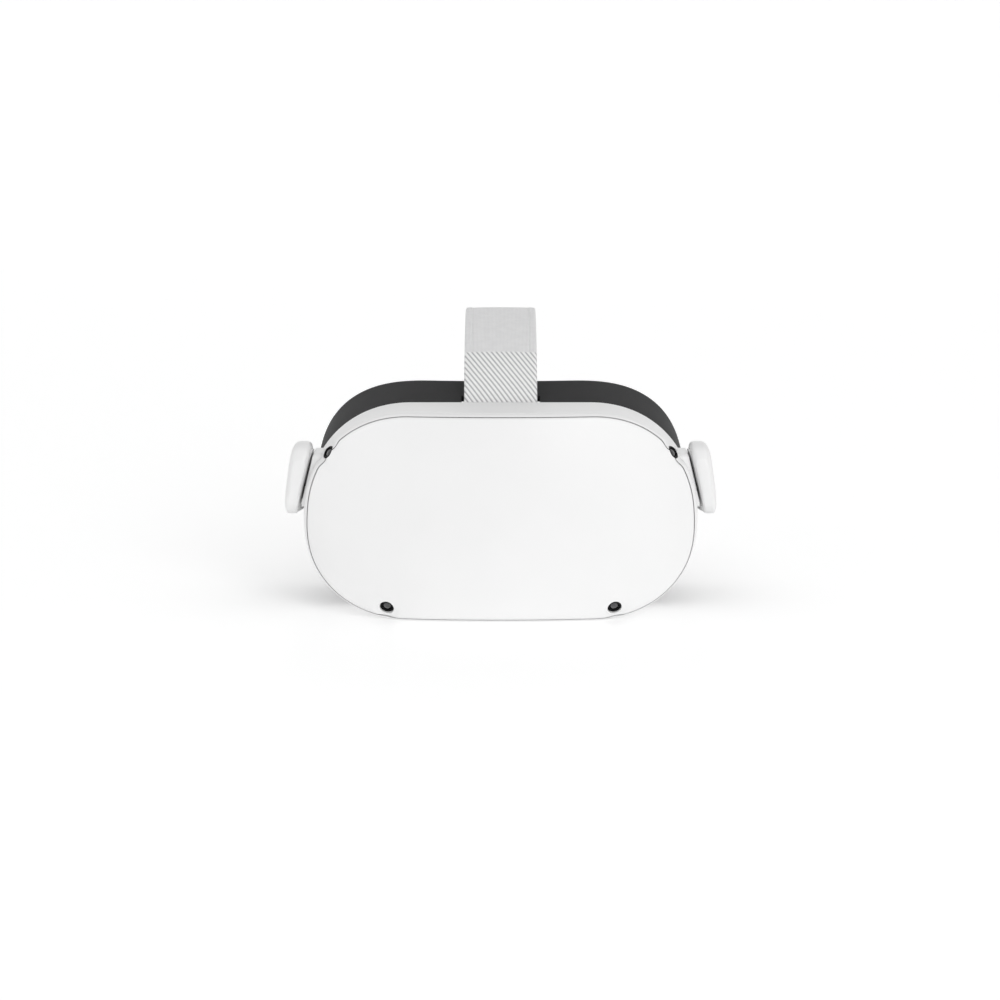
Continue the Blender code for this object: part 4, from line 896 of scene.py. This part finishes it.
def arm_slab(name, sign, first, last, margin, faces, corner=2.5):
    """A slab inside an arm with rounded ends: margin is its distance from foot and head."""
    rings = []
    for y in np.linspace(first, last, 60):
        foot, head, inner, outer = arm_at(y)
        near = min(y - first, last - y, corner)
        pull = corner - sqrt(max(0.0, corner ** 2 - (corner - near) ** 2))
        rise = np.linspace(foot + margin + pull, head - margin - pull, 12)
        sides = faces(inner - ARM_SLANT * rise * lean_at(y), outer - OUTER_SLANT * rise * lean_at(y))
        ring = [(sign * a, y, PIVOT_Z + r) for a, r in zip(sides[0], rise)]
        ring += [(sign * b, y, PIVOT_Z + r) for b, r in zip(sides[1][::-1], rise[::-1])]
        rings.append(fallen(ring))
    return loft(name, rings)


def arms():
    front, rear = -14.5, 94.0
    depths = np.concatenate([[front, -14.2, -13.8, -13.2], np.linspace(-12.5, -6, 10), np.linspace(-4.5, 91, 60),
                             [92.5, 93.4, rear]])
    slot_line = ((87.2, -8.0), (91.0, -8.0), (91.0, 11.6), (87.2, 11.6))
    for side, sign in SIDES.items():
        rings = [arm_ring(front, sign, share) + (0, -out, 0)
                 for share, out in ((0.3, 0.42), (0.6, 0.36), (0.82, 0.22), (0.94, 0.08))]
        rings += [arm_ring(y, sign) for y in depths]
        rings += [arm_ring(rear, sign, share) + (0, out, 0) for share, out in ((0.96, 0.3), (0.86, 0.5), (0.5, 0.6))]
        shell = loft(f"{side}_arm", rings, sharp=60)
        slot = [fallen([(sign * x, y, PIVOT_Z + rise) for x, rise in slot_line]) for y in (81.5, 97)]
        pocket = arm_slab(f"cutter_pocket_{side}", sign, -10.0, 66.0, 3.2, lambda i, o: (i - 3, o - 1.7))
        cut(shell, pocket, loft(f"cutter_band_{side}", slot), sharp=50)
        add_piece(shell, "arm_plastic", "strap_frame", [f"{side}_arm_shell"])
        lid = arm_slab(f"{side}_arm_lid", sign, -9.7, 65.7, 3.5, lambda i, o: (i + 0.05, i + 1.6))
        cutters = [pin_drill(f"cutter_lid_{side}", sign * HALF_WIDTH, 8)]
        for y in (47.0, 49.8, 54.0, 56.8):
            _, _, z = fallen((sign * 87.0, y, PIVOT_Z + 2.0))
            line = [(y + b, z + a) for a, b in capsule(5.5, 0.7, 8)]
            cutters.append(extruded(f"cutter_sound_{side}_{y:.0f}", line, "X", (sign * 82, sign * 92)))
        cut(lid, *cutters)
        add_piece(lid, "arm_plastic", "strap_frame", [f"{side}_arm_cover"])


# ---------------------------------------------------------------- head strap

STRAP_CROWN = 0.35      # how far the top strap's edges bend down below its middle
RIB_ACROSS, RIB_UP, RIB_BACK = 2.2, 2.66, 0.16      # the ribs' spacing across and up, and how depth shifts them

# Distances from a cut edge: over its rounding, across the folded hem, into the groove beside it and out again.
HEM_STEPS = [0.0, 0.08, 0.22, 0.45, 0.7, 0.9, 1.6, 2.3, 2.8, 3.1, 3.35, 3.6, 3.9, 4.5]


def hem_height(d, flat, hem, groove):
    """Half the thickness of hemmed webbing at a distance from its edge."""
    rounding = sqrt(max(0.0, 1 - (1 - min(1, d / 0.9)) ** 2))
    raised = hem * (1 - min(1, max(0, (d - 2.8) / 0.5)))
    dip = groove * max(0.0, 1 - abs(d - 3.35) / 0.4)
    return max(0.06, (flat + raised - dip) * rounding)


def half_section(width, thick, spacing, hem=0.22):
    """Across a strap: places from edge to edge and half the thickness there."""
    inset = HEM_STEPS[-1]
    count = max(2, int((2 * width - 2 * inset) / spacing))
    places = HEM_STEPS + list(np.linspace(inset, 2 * width - inset, count + 1)[1:-1])
    places += [2 * width - d for d in reversed(HEM_STEPS)]
    heights = [hem_height(min(place, 2 * width - place), thick / 2 - hem * 0.35, hem, 0.18) for place in places]
    return np.array(places) - width, np.array(heights)


def strap(name, centres, across, normals, width, thick, body, replaces, crown=0.0, spacing=2.6):
    """A strap with rounded, hemmed edges, cut as long as its route. Its UV runs in metres across and along it."""
    s, h = half_section(width, thick, spacing)
    lengths = lengths_along(centres)
    rings, uv = [], []
    for c, a, n, at in zip(centres, across, normals, lengths):
        drop = crown * (s / width) ** 2
        top = c + np.outer(s, a) + np.outer(h - drop, n)
        low = c + np.outer(s, a) - np.outer(h + drop, n)
        rings.append(np.vstack([top, low[::-1]]))
        uv += [(v, at) for v in s] + [(v, at) for v in s[::-1]]
    made = add_piece(loft(name, rings, sharp=70, uv=np.array(uv)), "strap_fabric", body, replaces)
    return made


def curve_through(points, steps):
    """Points on a smooth curve through the given ones, Catmull-Rom."""
    points = [np.array(p, float) for p in points]
    ends = [2 * points[0] - points[1], *points, 2 * points[-1] - points[-2]]
    made = []
    for a, b, c, d in zip(ends, ends[1:], ends[2:], ends[3:]):
        for k in range(steps):
            t = k / steps
            made.append(0.5 * (2 * b + (c - a) * t + (2 * a - 5 * b + 4 * c - d) * t ** 2
                               + (3 * b - a - 3 * c + d) * t ** 3))
    return np.array(made + [points[-1]])


def stitches(name, route, normals, look, body, pitch=3.0, length=2.1, radius=0.2):
    """A row of thread stitches lying on a surface, as one piece."""
    route, normals = np.asarray(route, float), np.asarray(normals, float)
    at = lengths_along(route)
    points, faces = [], []
    for k in range(int((at[-1] - length) // pitch) + 1):
        places = k * pitch + length * np.array([0, 0.12, 0.35, 0.65, 0.88, 1.0])
        lift = radius * np.array([-0.9, 0.15, 0.6, 0.6, 0.15, -0.9])
        spot, up = read_at(places, at, route), read_at(places, at, normals)
        way = (spot[-1] - spot[0]) / np.linalg.norm(spot[-1] - spot[0])
        start = len(points)
        for p, n, raised in zip(spot, up, lift):
            side = np.cross(way, n)
            side /= np.linalg.norm(side)
            for a in np.linspace(0, 2 * pi, 6, endpoint=False):
                points.append(p + n * raised + radius * (cos(a) * side + sin(a) * n))
        faces += ring_faces(6, 6, False, start)
        faces += [tuple(range(start, start + 6))[::-1], tuple(range(start + 30, start + 36))]
    return add_piece(add_mesh(name, points, faces, 60), look, body)


def top_strap():
    route = curve_through([(0, y, z) for y, z in STRAP_ROUTE], 12)
    way = np.gradient(route, axis=0)
    normals = unit(np.column_stack([np.zeros(len(route)), -way[:, 2], way[:, 1]]))
    across = np.tile((1.0, 0.0, 0.0), (len(route), 1))
    made = strap("top_strap_webbing", route, across, normals, STRAP_HALF_WIDTH, STRAP_THICK, None, ["top_strap"],
                 crown=STRAP_CROWN)
    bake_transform(made)
    ribbed_tab(route[8:43], normals[8:43])


def ribbed_tab(route, normals, relief=0.42, fine=0.26):
    """The folded tab: diagonal ribs stand up from it as real ridges, evenly spaced to someone facing the visor."""
    lengths = lengths_along(route)
    at = np.linspace(0, lengths[-1], int(lengths[-1] / fine))
    centre, normal = read_at(at, lengths, route), read_at(at, lengths, normals)
    s = np.linspace(-1, 1, int(2 * STRAP_HALF_WIDTH / fine)) * STRAP_HALF_WIDTH
    low, high = STRAP_THICK / 2 + 0.3, STRAP_THICK / 2 + 0.3 + TAB_THICK
    rings, uv, ridge = [], [], []
    back = np.linspace(STRAP_HALF_WIDTH, -STRAP_HALF_WIDTH, 9)
    for c, n, v in zip(centre, normal, at):
        phase = 2 * pi * (s / RIB_ACROSS + (c[2] + RIB_BACK * c[1]) / RIB_UP)
        shape = (0.5 + 0.5 * np.cos(phase)) ** 0.7
        edge = np.clip((STRAP_HALF_WIDTH - np.abs(s)) / 0.8, 0, 1)
        ends = min(1.0, v / 0.5, (lengths[-1] - v) / 0.5)
        rounding = np.sqrt(1 - (1 - edge) ** 2) * sqrt(max(0.0, 1 - (1 - max(0.0, ends)) ** 2))
        top = low + 0.15 + (high - low - 0.15 - relief * (1 - shape)) * rounding
        drop = STRAP_CROWN * (s / STRAP_HALF_WIDTH) ** 2
        upper = c + np.outer(s, (1, 0, 0)) + np.outer(top - drop, n)
        drop = STRAP_CROWN * (back / STRAP_HALF_WIDTH) ** 2
        under = c + np.outer(back, (1, 0, 0)) + np.outer(low - drop, n)
        rings.append(np.vstack([upper, under]))
        uv += [(a, v) for a in np.concatenate([s, back])]
        ridge += list(shape) + [0.5] * 9
    tab = loft("ribbed_strap_tab", rings, sharp=75, uv=np.array(uv))
    values = tab.data.attributes.new("ridge", "FLOAT", "POINT")
    values.data.foreach_set("value", np.array(ridge + [0.5, 0.5], np.float32))
    add_piece(tab, "rib_fabric", "visor", ["top_strap_tab"])


def head_point(angle, out=0.0):
    x, y = HEAD_HALF_WIDTH * np.cos(angle), HEAD_Y + HEAD_LENGTH * np.sin(angle)
    nx, ny = np.cos(angle) / HEAD_HALF_WIDTH, np.sin(angle) / HEAD_LENGTH
    size = np.hypot(nx, ny)
    return x + nx / size * out, y + ny / size * out


def band_middle(angle, sign):
    share = np.maximum(0.0, (angle - BAND_START) / (BAND_END - BAND_START))
    x, y = head_point(angle)
    return fallen(np.column_stack([sign * x, y, PIVOT_Z + 1.8 - 9.0 * share ** 2]))


def side_bands():
    angles = np.linspace(BAND_START, BAND_END, 90)
    across = np.tile((0.0, 0.0, 1.0), (len(angles), 1))
    for side, sign in SIDES.items():
        centres = band_middle(angles, sign)
        nx, ny = np.cos(angles) / HEAD_HALF_WIDTH, np.sin(angles) / HEAD_LENGTH
        normals = unit(np.column_stack([sign * nx, ny, np.zeros(len(angles))]))
        strap(f"{side}_side_webbing", centres, across, normals, BAND_HEIGHT / 2, BAND_THICK, "strap_frame",
              [f"{side}_side_band"], spacing=1.8)
        last = slice(-14, -1)
        for k, rise in enumerate((-5.2, 5.2)):
            row = centres[last] + np.array((0, 0, rise)) + normals[last] * (BAND_THICK / 2 - 0.1)
            stitches(f"{side}_band_stitching_{k}", row, normals[last], "thread", "strap_frame", 2.6, 1.8)


def band_sliders():
    outer = rounded_box_line(4.6, BAND_HEIGHT / 2 + 3.8, 0.5, 96)
    inner = rounded_box_line(2.5, BAND_HEIGHT / 2 + 1.6, 0.5, 96)
    half = [(7.0, 0.90), (6.8, 0.95), (6.4, 0.985), (5.6, 1.0), (4.6, 1.0), (4.3, 0.975), (4.0, 1.0)]
    profile = [(outer, -x, share) for x, share in half] + [(outer, x, share) for x, share in half[::-1]]
    profile += [(inner, 7.0, 1.05), (inner, 6.6, 1.0), (inner, -6.6, 1.0), (inner, -7.0, 1.05)]
    for side, sign in SIDES.items():
        spots = band_middle(np.array([SLIDER_ANGLE - 0.02, SLIDER_ANGLE, SLIDER_ANGLE + 0.02]), sign)
        along = Vector(spots[2] - spots[0]).normalized()
        turn = Matrix.Rotation(atan2(along.y, along.x), 3, "Z") @ Matrix.Rotation(-np.arcsin(along.z), 3, "Y")
        basis = np.array(turn)
        rings = [spots[1] + np.column_stack([np.full(96, x), line * s]) @ basis.T for line, x, s in profile]
        add_piece(loft(f"{side}_slider_loop", rings, closed=True, sharp=60), "arm_plastic", f"{side}_slider",
                  [f"{side}_band_slider"])


def cradle_surface(flat, out):
    """Lays (x, rise) points on the rear of the head ellipse, leaning forward above the nape."""
    x, rise = flat[:, 0], flat[:, 1]
    px, py = head_point(np.arccos(x / HEAD_HALF_WIDTH), out)
    py = py - 0.0034 * np.maximum(0.0, rise + 8.5) ** 2
    return fallen(np.column_stack([px, py, PIVOT_Z + rise]))


def ray_hits(corners, centre, angles, radius):
    """Where rays from a centre meet a polygon whose corners are rounded."""
    corners = np.array(corners, float)
    points = []
    for before, corner, after in zip(np.roll(corners, 1, 0), corners, np.roll(corners, -1, 0)):
        a, b = (before - corner), (after - corner)
        a, b = a / np.linalg.norm(a), b / np.linalg.norm(b)
        start, end = corner + a * radius, corner + b * radius
        for t in np.linspace(0, 1, 9):
            points.append((1 - t) ** 2 * start + 2 * t * (1 - t) * corner + t * t * end)
    points = np.array(points) - centre
    ends = np.roll(points, -1, 0)
    hits = []
    for angle in angles:
        way = np.array((cos(angle), sin(angle)))
        cross = way[0] * (ends - points)[:, 1] - way[1] * (ends - points)[:, 0]
        safe = np.where(np.abs(cross) < 1e-9, 1e-9, cross)
        reach = (points[:, 0] * (ends - points)[:, 1] - points[:, 1] * (ends - points)[:, 0]) / safe
        along = (points[:, 0] * way[1] - points[:, 1] * way[0]) / safe
        good = reach[(along >= -1e-6) & (along <= 1 + 1e-6) & (reach > 0)]
        hits.append(good.max())
    return np.array(hits)


def rear_cradle():
    """The triangular web behind the head: hemmed round its edge and round its window."""
    wide = HEAD_HALF_WIDTH * cos(CRADLE_EDGE)
    centre, count = np.array((0.0, 8.0)), 360
    angles = np.linspace(0, 2 * pi, count, endpoint=False) + 0.004     # so that no ray runs along an axis
    edge = [(-wide + 4, CRADLE_LOW), (wide - 4, CRADLE_LOW), (wide, CRADLE_LOW + 5), (wide, CRADLE_SHOULDER),
            (CRADLE_HEAD_HALF, CRADLE_TOP), (-CRADLE_HEAD_HALF, CRADLE_TOP), (-wide, CRADLE_SHOULDER),
            (-wide, CRADLE_LOW + 5)]
    window = [(-23, -1.3), (23, -1.3), (9, 26.0), (-9, 26.0)]
    far = ray_hits(edge, centre, angles, 2.0)
    near = ray_hits(window, centre, angles, 4.0)
    ways = np.column_stack([np.cos(angles), np.sin(angles)])
    inset = HEM_STEPS[-1]
    rows = [(far - d, d) for d in HEM_STEPS]
    rows += [((far - inset) * (1 - t) + (near + inset) * t, 2 * inset) for t in np.linspace(0, 1, 12)[1:-1]]
    rows += [(near + d, d) for d in reversed(HEM_STEPS)]
    rings, uv = [], []
    for face, order in ((1, rows), (-1, rows[::-1])):
        for reach, d in order:
            flat = centre + ways * reach[:, None]
            rings.append(cradle_surface(flat, face * hem_height(d, 1.15, 0.25, 0.2)))
            uv += list(flat)
    web = loft("rear_cradle_web", rings, closed=True, sharp=70, uv=np.array(uv))
    add_piece(web, "strap_fabric", "strap_frame", ["rear_cradle"])
    skin, seam = 1.36, 1.9      # the hem's half thickness, and the stitching's distance from its edge
    for name, reach in (("edge", far - seam), ("window", near + seam)):
        flat = centre + ways * reach[:, None]
        flat = np.vstack([flat, flat[:1]])
        for face, sign in (("outer", 1), ("inner", -1)):
            route = cradle_surface(flat, sign * skin)
            normals = cradle_surface(flat, sign * (skin + 1)) - route
            stitches(f"cradle_{name}_stitching_{face}", route, normals, "thread", "strap_frame", 3.0, 2.1, 0.17)


# ---------------------------------------------------------------- frame nodes that stay

KEPT = {
    "grey_plastic": ["eye_plate", "left_pivot_pin", "right_pivot_pin"],
    "aluminium": ["chassis_frame", "processor_shield", "heat_sink", "heat_pipe"],
    "steel": ["upper_guide_rod", "lower_guide_rod", "pinion_pin"],
    "circuit_board": ["main_board"],
    "screen": ["display_panel"],
    "battery_wrap": ["battery_cell"],
    "camera_glass": ["proximity_sensor"],
    "dark_plastic": ["fan_housing", "fan_rotor", "left_lens_barrel", "right_lens_barrel", "left_speaker",
                     "right_speaker", "strap_anchor"],
    "white_plastic": ["ipd_pinion"],
}


def dress_kept_nodes():
    for look, names in KEPT.items():
        for name in names:
            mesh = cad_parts[name].data
            mesh.materials.clear()
            mesh.materials.append(LOOKS[look])


# ---------------------------------------------------------------- stage

def stage():
    scene = bpy.context.scene
    scene.view_settings.view_transform = "Standard"
    floor_look = Look("pale_floor", (0.93, 0.93, 0.93), 0.5, Specular_IOR_Level=0.2, Emission_Strength=0.26)
    floor_look.shader.inputs["Emission Color"].default_value = (1.0, 1.0, 1.0, 1)
    half, front, depth, height, bend = 3.0, -2.6, 5.0, 5.0, 1.6     # the floor curves up into a wall
    profile = [(front, 0.0), (depth - bend, 0.0)]
    profile += [(depth - bend + bend * sin(a), bend * (1 - cos(a))) for a in np.linspace(0.1, pi / 2, 16)]
    profile += [(depth, height)]
    points = [(x, y, z) for y, z in profile for x in (-half, half)]
    faces = [(2 * k, 2 * k + 1, 2 * k + 3, 2 * k + 2) for k in range(len(profile) - 1)]
    mesh = bpy.data.meshes.new("floor")
    mesh.from_pydata(points, [], faces)
    mesh.shade_smooth()
    mesh.materials.append(floor_look.material)
    floor = bpy.data.objects.new("floor", mesh)
    scene.collection.objects.link(floor)

    world = bpy.data.worlds.new("studio")
    world.use_nodes = True
    scene.world = world
    nodes, links = world.node_tree.nodes, world.node_tree.links
    way, parts = nodes.new("ShaderNodeTexCoord"), nodes.new("ShaderNodeSeparateXYZ")
    glow = nodes.new("ShaderNodeMapRange")      # the sky is brighter near the horizon
    for key, value in (("From Min", 0.16), ("From Max", 0.34), ("To Min", 1.0), ("To Max", 0.67)):
        glow.inputs[key].default_value = value
    links.new(way.outputs["Generated"], parts.inputs[0])
    links.new(parts.outputs["Z"], glow.inputs["Value"])
    links.new(glow.outputs["Result"], nodes["Background"].inputs["Strength"])
    nodes["Background"].inputs["Color"].default_value = (1.0, 1.0, 1.0, 1)

    side, watts = 0.8, 14.5
    data = bpy.data.lights.new("key", "AREA")
    data.shape, data.size, data.size_y, data.energy = "RECTANGLE", side, side, watts
    key = bpy.data.objects.new("key", data)
    key.location = (0.9, -2.4, 0.9)
    key.rotation_euler = (Vector((0, 0, 0.05)) - key.location).to_track_quat("-Z", "Y").to_euler()
    scene.collection.objects.link(key)

    target, distance, tilt = Vector((-0.0003, -0.034, 0.05505)), 1.4, radians(9)
    sensor, frames_per_metre = 36.0, 2.31       # the frame is 1 / 2.31 m wide at the target
    data = bpy.data.cameras.new("photo_view")
    data.sensor_width = sensor
    data.lens = sensor * frames_per_metre * distance
    data.clip_start, data.clip_end = 0.05, 50.0
    camera = bpy.data.objects.new("photo_view", data)
    way = Vector((0, cos(tilt), -sin(tilt)))
    camera.location = target - way * distance
    camera.rotation_euler = way.to_track_quat("-Z", "Y").to_euler()
    scene.collection.objects.link(camera)
    scene.camera = camera


def main():
    front_cover()
    main_shell()
    buttons()
    ports()
    tracking_cameras()
    optics()
    facial_interface()
    face_cushion()
    arms()
    top_strap()
    side_bands()
    band_sliders()
    rear_cradle()
    dress_kept_nodes()
    stage()


main()
